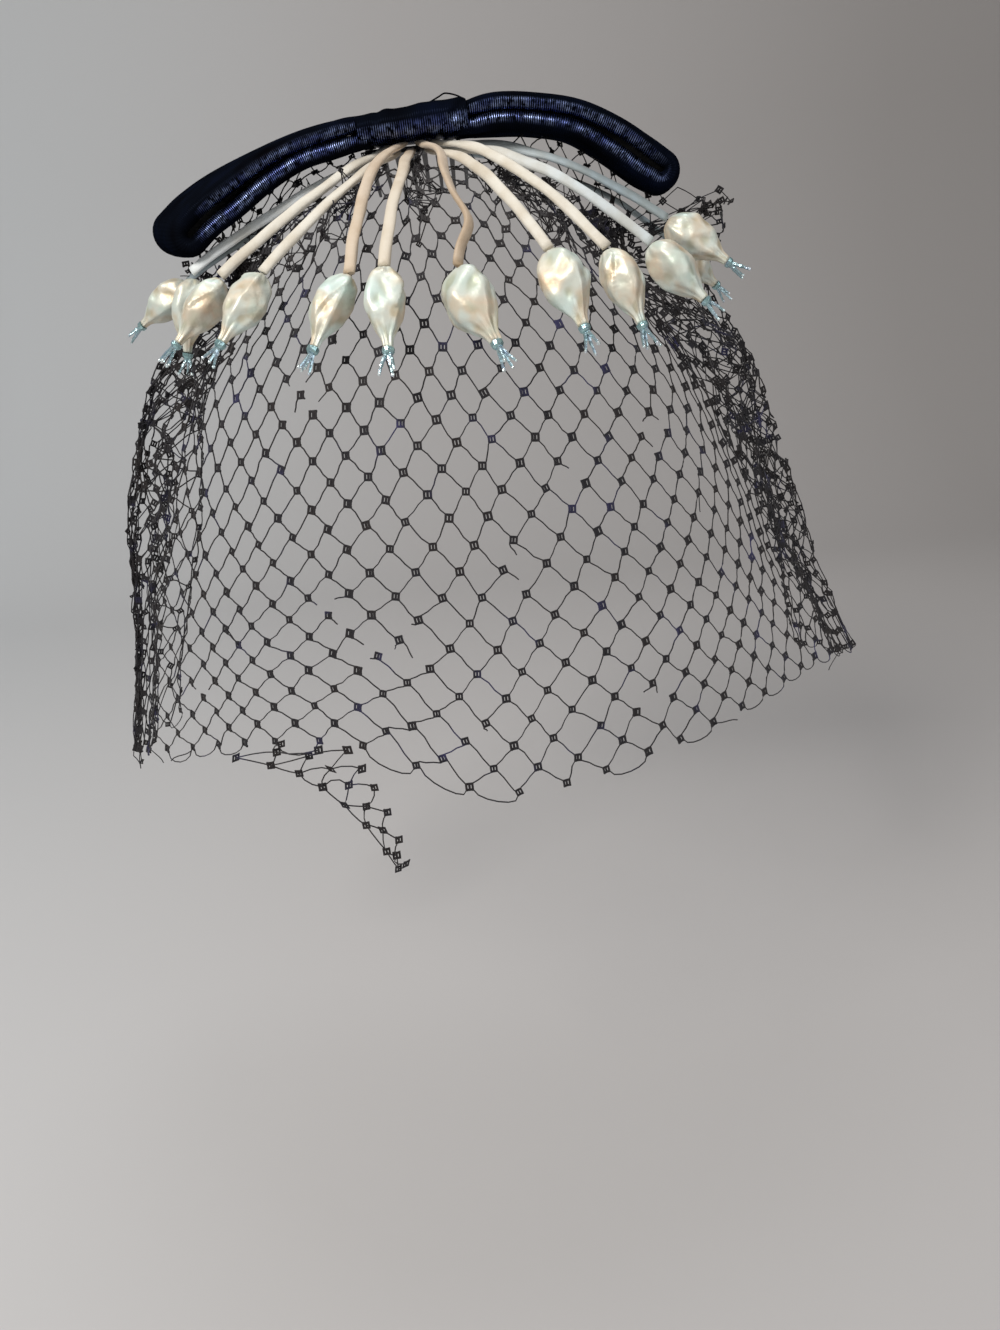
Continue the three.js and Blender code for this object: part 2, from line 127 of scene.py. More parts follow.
# ---------------------------------------------------------------- materials
class Shade:
    """A procedural material on the object's own coordinates, in metres."""

    def __init__(self, name, sockets):
        self.material = bpy.data.materials.new(name)
        self.material.use_nodes = True
        self.tree = self.material.node_tree
        self.shader = self.tree.nodes["Principled BSDF"]
        self.place = self.add("TexCoord", "Object", {})
        self.normal = None
        for socket, value in sockets.items():
            self.set(socket, value)

    def put(self, socket, value):
        """A constant goes on the socket itself, and another node's output is linked to it."""
        if isinstance(value, bpy.types.NodeSocket):
            self.tree.links.new(value, socket)
        else:
            socket.default_value = value

    def set(self, socket, value):
        self.put(self.shader.inputs[socket], value)

    def add(self, kind, output, inputs, **settings):
        """A new node's output; the settings come first, because they change its sockets."""
        node = self.tree.nodes.new("ShaderNode" + kind)
        for name, value in settings.items():
            setattr(node, name, value)
        for key, value in inputs.items():
            self.put(node.inputs[key], value)
        return node.outputs[output]

    def attribute(self, name, output="Fac"):
        return self.add("Attribute", output, {}, attribute_name=name)

    def noise(self, scale, detail=2.0, grain=0.5):
        return self.add("TexNoise", "Fac", {"Scale": scale, "Detail": detail, "Roughness": grain,
                                            "Vector": self.place})

    def math(self, kind, *values):
        return self.add("Math", 0, dict(enumerate(values)), operation=kind)

    def mix(self, share, first, second, kind="MIX"):
        return self.add("Mix", "Result", {"Factor": share, "A": first, "B": second},
                        data_type="RGBA", blend_type=kind)

    def ramp(self, source, stops):
        node = self.tree.nodes.new("ShaderNodeValToRGB")
        elements = node.color_ramp.elements
        while len(elements) < len(stops):
            elements.new(0.5)
        for element, (place, colour) in zip(elements, stops):
            element.position = place
            element.color = (*colour, 1)
        self.put(node.inputs["Fac"], source)
        return node.outputs["Color"]

    def rough(self, scale, detail, low, high):
        self.set("Roughness", self.add("MapRange", "Result", {
            "To Min": low, "To Max": high, "Value": self.noise(scale, detail)}))

    def bump(self, height, strength, distance):
        inputs = {"Strength": strength, "Distance": distance, "Height": height}
        if self.normal:
            inputs["Normal"] = self.normal
        self.normal = self.add("Bump", "Normal", inputs)
        self.set("Normal", self.normal)


RIB_PITCH = 0.62  # from one fine rib of the bow's satin to the next
CORD_RIB_PITCH = 0.5


def bow_satin():
    """Near-black ribbed satin with painted light: only the crests of its fine ribs catch the light, as
    broken ticks of painted highlight on the edge rolls, and the satin is dulled as painted shade wherever
    the matte attribute is high.
    """
    shade = Shade("bow_satin", {"Specular Tint": (0, 0, 0, 1), "Specular IOR Level": 0.0})
    # matte is 1 where the satin is painted as shade, with no reflection; shine is where it reflects.
    shine = shade.math("SUBTRACT", 1.0, shade.attribute("matte"))
    turn = shade.math("MULTIPLY", shade.attribute("along"), 2 * math.pi / RIB_PITCH)
    turn = shade.math("ADD", turn, shade.math("MULTIPLY", shade.noise(420), 4.0))
    ribs = shade.math("MULTIPLY_ADD", shade.math("SINE", turn), 0.5, 0.5)
    broken = shade.math("MULTIPLY_ADD", shade.math("MULTIPLY", ribs, shade.noise(800, 1)), 3.8, -1.0)
    # Painted highlight: the bright ticks show only on the edge rolls, where shine is high.
    crest = shade.math("MAXIMUM", shade.math("MULTIPLY_ADD", shine, 2.0, -1.0), 0.0)
    ticks = shade.math("MULTIPLY", shade.math("MINIMUM", shade.math("MAXIMUM", broken, 0.0), 1.0), crest)
    hue = shade.ramp(shade.noise(70, 3), [
        (0.30, (0.002, 0.002, 0.003)), (0.52, (0.003, 0.004, 0.007)), (0.75, (0.004, 0.006, 0.015))])
    tick = shade.ramp(shade.noise(240, 1), [(0.4, (0.10, 0.13, 0.34)), (0.6, (0.27, 0.34, 0.60))])
    shade.set("Base Color", shade.mix(ticks, hue, tick))
    shade.set("Metallic", shine)
    shade.rough(160, 2, 0.26, 0.40)
    shade.bump(shade.noise(45, 3), 0.25, 0.0012)
    shade.bump(ribs, 0.6, 0.00012)
    return shade.material


# Each finish: constants of the shader, the noise and stops of its dye, how much the dye tints the
# piece's tint, its colour with some painted light and shade (none: it is the colour), the noise and
# ends of its roughness, and its bumps (noise scale, detail and grain, strength, and depth in metres).
FINISHES = {
    "stem_cord": Sizes(
        constants={"Sheen Weight": 0.2, "Specular IOR Level": 0.35},
        dye=(130, 4), stops=[(0.35, (0.80, 0.74, 0.66)), (0.6, (1, 1, 1))], tinting=0.7,
        rough=(300, 2, 0.38, 0.62), bumps=[(650, 3, 0.5, 0.35, 0.00035)]),
    "bud_satin": Sizes(
        constants={"Metallic": 0.28, "Specular IOR Level": 0.3, "Specular Tint": (0.42, 0.40, 0.30, 1),
                   "Coat Weight": 0.12, "Coat Roughness": 0.30},
        dye=(150, 2), stops=[(0.30, (0.84, 0.98, 0.94)), (0.47, (0.98, 1.0, 0.95)),
                             (0.61, (1.0, 0.84, 0.68)), (0.74, (0.92, 0.90, 0.76))], tinting=0.8,
        rough=(220, 3, 0.34, 0.56),
        bumps=[(150, 3, 0.6, 0.42, 0.0010), (2600, 1, 0.5, 0.12, 0.0001)]),
    "stamen_tinsel": Sizes(
        constants={"Metallic": 0.75},
        dye=(520, 2), stops=[(0.32, (0.42, 0.66, 0.72)), (0.5, (0.85, 0.97, 0.98)),
                             (0.68, (0.66, 0.72, 0.95))], tinting=0.6,
        rough=(900, 2, 0.12, 0.36), bumps=[(1500, 2, 0.5, 0.5, 0.0003)]),
    "veil_net": Sizes(
        constants={"Sheen Weight": 0.15, "Specular IOR Level": 0.3},
        dye=(85, 3), stops=[(0.35, (0.018, 0.014, 0.014)), (0.60, (0.013, 0.012, 0.016)),
                            (0.73, (0.030, 0.028, 0.090))], tinting=None,
        rough=(400, 1, 0.6, 0.85), bumps=[(5200, 1, 0.5, 0.5, 0.00012)]),
    "comb_plastic": Sizes(
        constants={"Specular IOR Level": 0.5},
        dye=(60, 4), stops=[(0.4, (0.012, 0.012, 0.014)), (0.7, (0.030, 0.028, 0.030))], tinting=None,
        rough=(240, 3, 0.22, 0.42), bumps=[(700, 3, 0.5, 0.15, 0.0002)]),
}


def finish(name):
    """The named material; the cord's also has fine ribs along it."""
    row = FINISHES[name]
    shade = Shade(name, row.constants)
    dye = shade.ramp(shade.noise(*row.dye), row.stops)
    if row.tinting:
        dye = shade.mix(row.tinting, shade.attribute("tint", "Color"), dye, "MULTIPLY")
    shade.set("Base Color", dye)
    shade.rough(*row.rough)
    for scale, detail, grain, strength, depth in row.bumps:
        shade.bump(shade.noise(scale, detail, grain), strength, depth)
    if name == "stem_cord":
        turn = shade.math("MULTIPLY", shade.attribute("along"), 2 * math.pi / CORD_RIB_PITCH)
        shade.bump(shade.math("SINE", turn), 0.12, 0.00008)
    return shade.material


# ---------------------------------------------------------------- meshes
def make_piece(name, points, faces, material, attributes=None, smooth=True):
    """A mesh object in metres from points in millimetres; attributes are floats or colours."""
    mesh = bpy.data.meshes.new(name)
    mesh.from_pydata((np.asarray(points) * MM).tolist(), [], faces)
    mesh.polygons.foreach_set("use_smooth", [smooth] * len(mesh.polygons))
    for key, values in (attributes or {}).items():
        values = np.asarray(values, float)
        if values.ndim == 1:
            mesh.attributes.new(key, "FLOAT", "POINT").data.foreach_set("value", values)
        else:
            values = np.c_[values, np.ones(len(values))]
            mesh.attributes.new(key, "FLOAT_COLOR", "POINT").data.foreach_set("color", values.ravel())
    mesh.materials.append(material)
    mesh.update()
    piece = bpy.data.objects.new(name, mesh)
    bpy.context.scene.collection.objects.link(piece)
    return piece


def add_piece(name, slot, node, points, faces, material, attributes=None, smooth=True):
    """A piece that rides on the root; it stands for the node, if one is named."""
    piece = make_piece(name, points, faces, material, attributes, smooth)
    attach(piece, "root")
    if node:
        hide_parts(node)
    return piece


def tube_faces(rings, around):
    """Faces of a closed tube whose rings follow each other."""
    ring = np.arange(around)
    faces = []
    for start in range(0, (rings - 1) * around, around):
        a, b = start + ring, start + (ring + 1) % around
        faces += np.stack([a, b, b + around, a + around], 1).tolist()
    return faces + [ring[::-1].tolist(), ((rings - 1) * around + ring).tolist()]


def closed_tube(rings):
    """The points of a closed tube from its rings, and its faces, which look outwards."""
    points = rings.reshape(-1, 3)
    return points, oriented(points, tube_faces(*rings.shape[:2]))


def joined(parts):
    """One list of points and one of faces from several."""
    faces, start = [], 0
    for points, part_faces in parts:
        faces += [[i + start for i in face] for face in part_faces]
        start += len(points)
    return np.concatenate([points for points, _ in parts]), faces


def oriented(points, faces):
    """The faces turned so that the closed body's volume is positive."""
    total = 0.0
    for face in faces:
        for k in range(1, len(face) - 1):
            total += points[face[0]].dot(np.cross(points[face[k]], points[face[k + 1]]))
    return faces if total > 0 else [tuple(reversed(face)) for face in faces]


def hermite(keys, values, at):
    """Smooth values at places `at` through the rows of `values` that stand at `keys`."""
    keys, values, at = (np.asarray(item, float) for item in (keys, values, at))
    if values.ndim == 1:
        values = values.reshape(-1, *([1] * at.ndim)) * np.ones((1, *at.shape))
    low = np.maximum(np.arange(len(keys)) - 1, 0)
    high = np.minimum(np.arange(len(keys)) + 1, len(keys) - 1)
    gaps = (keys[high] - keys[low]).reshape(-1, *([1] * at.ndim))
    slopes = (values[high] - values[low]) / gaps
    i = np.searchsorted(keys[1:-1], at, side="left")
    step = keys[i + 1] - keys[i]
    t = np.clip((at - keys[i]) / step, 0, 1)
    t2, t3 = t * t, t * t * t

    def pick(rows, index):
        return np.take_along_axis(rows, index[None], 0)[0]

    return ((2 * t3 - 3 * t2 + 1) * pick(values, i) + (t3 - 2 * t2 + t) * step * pick(slopes, i)
            + (3 * t2 - 2 * t3) * pick(values, i + 1) + (t3 - t2) * step * pick(slopes, i + 1))


def smooth(rows, at):
    """Each column of a table, smoothly, at places along its first column."""
    keys = next(iter(vars(rows).values()))
    return Sizes(**{name: hermite(keys, column, at) for name, column in vars(rows).items()})


def smooth_step(x, low, high):
    t = np.clip((np.asarray(x, float) - low) / (high - low), 0, 1)
    return t * t * (3 - 2 * t)


def xyz(x, y, z):
    """Points from their three coordinates, each an array or one value for all of them."""
    return np.stack(np.broadcast_arrays(x, y, z), -1)


def length(vectors):
    return np.linalg.norm(vectors, axis=-1)


def unit(vectors):
    return vectors / np.maximum(length(vectors), 1e-9)[..., None]


def blend(first, second, share):
    return first * (1 - share) + second * share


def turned(first, second, angle):
    """Two directions, both turned by an angle in the plane they share."""
    cos, sin = np.cos(angle)[..., None], np.sin(angle)[..., None]
    return first * cos + second * sin, second * cos - first * sin


def circle(count, shift=0.0):
    return 2 * math.pi * (np.arange(count) + shift) / count


def squared(wave, power):
    """A sine or cosine made squarer, as in the outline of a flattened tube."""
    return np.sign(wave) * np.abs(wave) ** power


def distance_along(points):
    return np.concatenate([[0], np.cumsum(length(np.diff(points, axis=0)))])


def waves(x, y, seed, count=4):
    """Smooth noise of about unit size, from a few sines with fixed seeds."""
    rng = np.random.default_rng(seed)
    total = 0
    for _ in range(count):
        kx, ky = rng.uniform(0.5, 1.6, 2) * rng.choice([-1, 1], 2)
        total = total + np.sin(kx * x + ky * y + rng.uniform(0, 2 * math.pi))
    return total / math.sqrt(count)


def round_tube(route, radius, around):
    """A closed tube along a route, with a radius or one radius a station."""
    route = np.asarray(route, float)
    radius = np.broadcast_to(radius, (len(route),))
    tangent = unit(np.gradient(route, axis=0))
    side = np.empty_like(tangent)
    start = np.array([0.0, 0.0, 1.0]) if abs(tangent[0][2]) < 0.9 else np.array([1.0, 0.0, 0.0])
    side[0] = unit(np.cross(tangent[0], start))
    for i in range(1, len(route)):
        side[i] = unit(side[i - 1] - tangent[i] * side[i - 1].dot(tangent[i]))
    ring = turned(side[:, None], np.cross(tangent, side)[:, None], circle(around)[None])[0]
    return closed_tube(route[:, None] + radius[:, None, None] * ring)


# ---------------------------------------------------------------- bow
EDGE = 2.3  # radius of the padded roll along each edge of a layer
THIN = 1.75  # half the thickness of a layer between its rolls
BOW_HEIGHT = 12.0
LEFT_LOOP = by_column("x z apart deep lift flare", [
    (15.8, 11.2, 4.6, 17.5, 1.8, 0.0), (24.0, 10.4, 4.5, 18.5, 2.5, 1.0), (34.0, 8.5, 4.5, 19.5, 2.5, 2.5),
    (46.0, 4.3, 5.2, 20.5, 2.6, 4.5), (58.0, -1.1, 6.0, 21.0, 2.9, 6.5), (67.0, -6.0, 6.3, 20.5, 2.2, 7.5),
    (72.8, -10.4, 6.4, 19.5, 1.5, 8.0),
])
RIGHT_LOOP = by_column("x z apart deep lift flare", [
    (15.8, 12.0, 4.8, 17.5, 1.2, 0.0), (24.0, 12.3, 4.5, 18.5, 0.6, 0.4), (34.0, 11.4, 4.5, 19.5, 0.8, 0.8),
    (46.0, 8.7, 4.8, 20.5, 1.0, 1.4), (57.0, 2.6, 5.6, 21.0, 0.5, 2.0), (66.0, -3.7, 6.2, 20.5, 0.3, 2.4),
    (70.7, -6.7, 6.0, 19.5, 0.3, 2.6),
])
LOOP_STEPS = Sizes(out=60, round=16)
FOLDED = (0.60, 0.88)  # the layers meet inside, and part again between these shares of the depth
ENTER = Sizes(depth=3.2, pinch=0.13, fades=2.6)  # how the loops go in under the knot
FLAT_SHADE = Sizes(outer=0.62, edge=(0.76, 0.93))  # painted shade: the flat of a layer is made dull, and only its edge rolls shine
SHADED_TIP = Sizes(reach=9.0, left=1.0, right=0.5)  # painted shade: the turn at the top of each tip is made dull
GATHER = Sizes(pleats=4.5, depth=0.55, reach=9.0)  # where the knot gathers the loops
UNEVEN = Sizes(swell=0.22, ripple=0.35)  # how far the satin swells, and how far its edges wander


def loop_path(rows, side):
    """Stations out along the upper layer, round the tip and back, and their points."""
    first, last = rows.x[0] - ENTER.depth, rows.x[-1]

    def middle(x):
        return xyz(side * x, 0, smooth(rows, x).z)

    def layer(x):
        along = unit(middle(x + 0.1) - middle(x - 0.1))
        up = xyz(-along[..., 2] * side, 0, along[..., 0] * side)
        return up * smooth(rows, x).apart[..., None] / 2, along

    x = np.linspace(first, last, LOOP_STEPS.out, endpoint=False)
    up = layer(x)[0]
    tip = np.array([last - 0.1])
    tip_up, along = layer(tip)
    apart = smooth(rows, tip).apart[..., None] / 2
    turn = np.linspace(0, math.pi, LOOP_STEPS.round + 1)[:, None]
    bend = middle(tip) + tip_up * np.cos(turn) + along * apart * np.sin(turn)
    points = np.concatenate([middle(x) + up, bend, (middle(x) - up)[::-1]])
    stations = np.concatenate([x, np.full(len(bend), last), x[::-1]])
    return stations, points


def band_outline():
    """Points round a padded layer: place across from -1 to 1, and which of its faces it is on."""
    across = np.cos(np.linspace(0, math.pi, 31))
    return np.r_[across, across[-2:0:-1]], np.r_[np.ones(31), -np.ones(29)]


def band_half_thickness(across, half_width):
    """Half thickness across a padded layer, with a round roll along each edge."""
    inside = (1 - np.abs(across)) * half_width
    roll = np.sqrt(np.clip(1 - (1 - np.clip(inside / EDGE, 0, 1)) ** 2, 0, 1)) * EDGE
    middle = EDGE + (THIN - EDGE) * smooth_step(inside, EDGE, 3 * EDGE)
    return np.minimum(roll, middle)


def bow_loop(name, rows, side, dull, satin, seed):
    stations, points = loop_path(rows, side)
    q, sign = band_outline()
    along = unit(np.gradient(points, axis=0))
    along[0], along[-1] = (side, 0, 0), (-side, 0, 0)
    at = smooth(rows, stations)
    back = xyz(side * at.flare, at.deep, at.lift)
    out = side * unit(np.cross(back, along))
    out[0, 0] = out[-1, 0] = 0
    half = band_half_thickness(q, at.deep[:, None])
    between = at.apart[:, None] / 2 - 0.05
    inner = 1 - smooth_step(np.abs(q), *FOLDED)
    half = np.where(sign < 0, half + (between - half) * inner, half) * sign
    run = distance_along(points)
    near = np.exp(-(stations - stations[0]) / GATHER.reach)[:, None]
    pleat = np.cos(GATHER.pleats * math.pi * q + seed) * near * GATHER.depth
    swell = waves(run[:, None] / 9.0, 2.2 * q, seed) * UNEVEN.swell * (1 - near)
    half = half + (pleat + swell) * np.sqrt(np.clip(1 - q ** 2, 0, 1))
    ripple = waves(run[:, None] / 11.0, 0 * q, seed + 5) * UNEVEN.ripple * (1 - near)
    rings = points[:, None] + back[:, None] * (q * (1 + ripple / 20))[..., None]
    rings = rings + out[:, None] * half[..., None]
    pinch = ENTER.pinch * np.exp(-np.maximum(stations - rows.x[0], 0) / ENTER.fades)[:, None]
    rings[..., 2] += (at.z[:, None] - rings[..., 2]) * pinch
    rings[..., 1] *= 1 - 0.6 * pinch
    # Painted shade: the inside of the loop and the flat of each layer are dulled so that only the edge
    # rolls shine, and so is the top of each tip's turn.
    middle = 1 - smooth_step(np.abs(q), *FLAT_SHADE.edge)
    matte = np.where(sign < 0, 1 - 0.6 * smooth_step(np.abs(q), 0.93, 1), FLAT_SHADE.outer * middle)
    top_of_turn = run[LOOP_STEPS.out + LOOP_STEPS.round // 4]
    tip_shade = dull * np.exp(-((run - top_of_turn) / SHADED_TIP.reach) ** 2)[:, None]
    matte = matte + (1 - matte) * tip_shade
    piece = add_piece(f"satin_{name}", "bow_satin", f"bow_{name}", *closed_tube(rings), satin,
                      {"along": np.repeat(run, len(q)), "matte": matte.ravel()})


KNOT = Sizes(half_width=15.4, half_depth=18.5, half_height=4.7, lift=1.0, pinch=0.93, tilt=0.07, dull=0.8)
KNOT_STEPS = Sizes(along=56, around=96)
KNOT_CREASES = table("x slant depth width", [
    (-11.0, 0.9, 0.45, 1.3), (-4.0, -0.5, 0.25, 1.8), (3.5, 0.6, 0.22, 1.6), (11.5, 2.2, 0.75, 1.0),
])
LOOSE_THREAD = Sizes(start=(4.5, -6.0), to=(15.0, -8.0), rise=2.3, radius=0.22)


def bow_knot(satin):
    along = np.linspace(-1, 1, KNOT_STEPS.along + 1)[:, None]
    turn = circle(KNOT_STEPS.around, 0.5)[None]
    across, through = squared(np.cos(turn), 0.5), squared(np.sin(turn), 0.62)
    full = 1 + (KNOT.pinch - 1) * along ** 4
    x = along * KNOT.half_width + 0 * across
    dent = 0.14 * waves(x / 2.6, 2.5 * turn, 31)
    for crease in KNOT_CREASES:
        line = x - crease.x - crease.slant * through * 2
        dent = dent - crease.depth * np.exp(-(line / crease.width) ** 2)
    y = across * KNOT.half_depth * full * (1 + dent / KNOT.half_depth)
    z = BOW_HEIGHT + KNOT.tilt * x * np.where(through > 0, 1, 0.35) + across * full * KNOT.lift
    z = z + through * KNOT.half_height * full * (1 + dent / KNOT.half_height)

    (x0, y0), (x1, y1) = LOOSE_THREAD.start, LOOSE_THREAD.to
    t = np.linspace(0, 1, 26)
    base = BOW_HEIGHT + KNOT.half_height - 0.6
    route = xyz(x0 + (x1 - x0) * t + 1.6 * np.sin(2 * math.pi * t) * (1 - t), y0 + (y1 - y0) * t,
                base + LOOSE_THREAD.rise * np.sin(math.pi * t) ** 0.7)
    thread = round_tube(route, LOOSE_THREAD.radius, 8)
    # Painted shade: the top of the knot is dulled; the loose thread is dull all over.
    matte = KNOT.dull * smooth_step(through + 0 * x, -0.25, 0.45)
    piece = add_piece("satin_knot", "bow_satin", "bow_knot",
                      *joined([closed_tube(xyz(x, y, z)), thread]), satin,
                      {"along": np.append(x, np.zeros(len(thread[0]))),
                       "matte": np.append(matte, np.ones(len(thread[0])))})


# ---------------------------------------------------------------- stems, buds and stamens
STEM = Sizes(wide=3.6, thick=2.0, root_radius=9.5, root_z=5.6, layer_step=2.1, dome=1.8)
STEM_EDGE = 0.82  # share of the solid's width and thickness that the flat cord keeps
ROOT_RISE = 1.1  # how far each cord turns up under the knot
TURNED = Sizes(start=0.08, full=0.35)  # where along a cord its own turn about its middle comes in
BENT = Sizes(index=6, at=0.82, aside=3.0, reach=0.1)  # the seventh cord has a sharp bend
WOBBLE = Sizes(aside=0.42, lift=0.18, twist=0.25, fat=0.06)  # how uneven each cord is
SEAM_GAP = 0.3  # between a stem's end and its bud
BEND_CLEARANCE = 1.4  # how much wider that gap is where the bud turns off sharply
# The cords' colours are partly their own and partly painted light: ice and slate on the outer cords stand
# in for the cooler, dimmer light at the sides, and white on the second cord is made lighter against the
# bow's shadow.
TINTS = {
    "white": (0.92, 0.97, 0.98), "slate": (0.40, 0.48, 0.52), "ice": (0.66, 0.71, 0.72),
    "ivory": (0.76, 0.72, 0.63), "cream": (0.71, 0.63, 0.51), "peach": (0.66, 0.54, 0.41),
    "tan": (0.54, 0.42, 0.30),
}
STEMS = table("root tip reach drop sway sag out side down girth turn near far", [
    (-80, -101, 78, -24, 0, 7, 0.8, -0.1, 0.55, 0.8, 40, "ice", "slate"),
    (-66, -78, 69, -22, 2, 3, 0.3, 0.05, 0.9, 0.82, 55, "white", "white"),
    (-50, -58, 65, -24, 4, 3, 0.6, -0.2, 0.78, 0.8, 50, "ivory", "ivory"),
    (-35, -38, 66, -24, 4, 1, 0.6, -0.22, 0.76, 0.75, 25, "cream", "ivory"),
    (-20, -15, 68, -26, 0, 0, 0.58, -0.32, 0.76, 0.84, 15, "peach", "peach"),
    (-8, -7, 71, -25, 1, 0, 0.55, 0.04, 0.84, 0.77, 5, "peach", "cream"),
    (8, 7, 72, -27, 3, 0, 0.55, 0.28, 0.8, 1.0, 45, "peach", "tan"),
    (22, 26, 71, -25, 1, 0, 0.52, 0.08, 0.83, 0.92, -25, "cream", "ivory"),
    (36, 42, 70, -26, 0, 0, 0.52, -0.02, 0.84, 0.8, -32, "ivory", "ivory"),
    (50, 61, 70, -26, -1, -1, 0.6, 0.16, 0.76, 0.94, -50, "ivory", "ice"),
    (65, 79, 71, -20, -1, 0, 0.8, 0.0, 0.58, 0.86, -40, "ice", "slate"),
    (80, 102, 78, -25, 0, 1, 0.66, 0.1, 0.72, 0.85, 0, "slate", "slate"),
])
BUD = by_column("at radius", [
    (0.0, 1.2), (0.5, 2.6), (3.0, 5.3), (7.5, 6.5), (11.5, 6.0), (15.5, 3.8), (18.2, 2.0), (20.6, 1.5),
])
BUD_LENGTH = 20.6
# How sharp a bud's facets are, and the shares of its radius that its folds and creases stand out.
CREASE = Sizes(sharp=34.0, wrap=0.10, pleats=0.09, crown=0.06, crumple=0.036, fine=0.012)
# The bud's own warm and cool pearl tones, and valley, painted shade for its creases.
PEARL = Sizes(warm=(0.77, 0.72, 0.63), cool=(0.78, 0.85, 0.82), valley=(0.50, 0.45, 0.31),
              cuff=(0.62, 0.52, 0.38))
PRONG = Sizes(length=7.0, base=0.6, tip=0.3, splay=0.34, bead=0.5)
FOIL = Sizes(cuff=(0.45, 0.62, 0.62), thread=(0.66, 0.80, 0.84), bead=(0.95, 0.97, 0.96))


def polar(azimuth, radius, z):
    angle = np.radians(azimuth)
    return xyz(radius * np.sin(angle), -radius * np.cos(angle), z)


def stem_point(row, index, t):
    root_z = STEM.root_z - (index % 2) * STEM.layer_step
    azimuth = row.root + (row.tip - row.root) * t
    radius = STEM.root_radius + (row.reach - STEM.root_radius) * t
    height = root_z + (row.drop - root_z) * np.maximum(t, 0) ** STEM.dome
    bulge = np.sin(math.pi * t)
    point = polar(azimuth, radius, height - row.sag * bulge)
    return point + polar(azimuth + 90, 1, 0) * (row.sway * bulge)[..., None]


def make_stem(row, index, cord):
    steps, around = 48, 16
    t = np.linspace(0, 1, steps + 1)
    middle = stem_point(row, index, t)
    along = unit(stem_point(row, index, t + 0.01) - stem_point(row, index, t - 0.01))
    wide = polar(row.root + (row.tip - row.root) * t + 90, 1, 0)
    wide = unit(wide - along * np.sum(wide * along, -1, keepdims=True))
    below = -np.cross(along, wide)
    ends = np.sin(math.pi * t)
    kink = waves(t * 9, 0 * t, 50 + index) * WOBBLE.aside * ends
    if index == BENT.index:
        kink = kink + BENT.aside * np.exp(-((t - BENT.at) / BENT.reach) ** 2)
    lift = waves(t * 11, 0 * t, 70 + index) * WOBBLE.lift * ends
    middle = middle + wide * kink[:, None] + below * lift[:, None]
    middle[:, 2] += ROOT_RISE * np.exp(-t / 0.05)
    own_turn = math.radians(row.turn) * smooth_step(t, TURNED.start, TURNED.full)
    dip = STEM.wide * np.abs(np.sin(own_turn)) + STEM.thick * (np.cos(own_turn) - 1)
    middle = middle - below * (dip * STEM_EDGE / 2)[:, None]  # its lower edge stays off the net
    twist = WOBBLE.twist * waves(t * 6, 0 * t, 90 + index) * ends + own_turn
    wide, below = turned(wide, below, twist)
    turn = circle(around, 0.5)
    fat = STEM_EDGE + WOBBLE.fat * waves(t[:, None] * 22, turn, 110 + index)
    u = squared(np.cos(turn), 0.8) * STEM.wide / 2 * fat
    v = squared(np.sin(turn), 0.9) * STEM.thick / 2 * fat
    rings = middle[:, None] + wide[:, None] * u[..., None] + below[:, None] * v[..., None]
    tint = blend(np.array(TINTS[row.near]), np.array(TINTS[row.far]), smooth_step(t, 0.05, 0.75)[:, None])
    tint = tint * (1 - 0.25 * (1 - smooth_step(t, 0, 0.12)))[:, None]  # painted shade: darker under the knot
    add_piece(f"stem_cord_{index + 1:02d}", "stem_cord", f"stem_{index + 1:02d}",
              *closed_tube(rings), cord,
              {"along": np.repeat(distance_along(middle), around), "tint": np.repeat(tint, around, 0)})


def bud_frame(row, index):
    """Where the bud's stem end is, the way it points, and its turn from +Y to that way."""
    axis = unit(polar(row.tip, row.out, 0) + np.array([row.side, 0, -row.down]))
    tip = stem_point(row, index, np.array(1.0))
    last = unit(tip - stem_point(row, index, np.array(0.99)))
    bend = length(np.cross(last, axis))
    foot = tip + axis * (SEAM_GAP + bend * BEND_CLEARANCE)
    turn = Vector((0, 1, 0)).rotation_difference(Vector(axis))
    return foot, axis, np.array(turn.to_matrix())


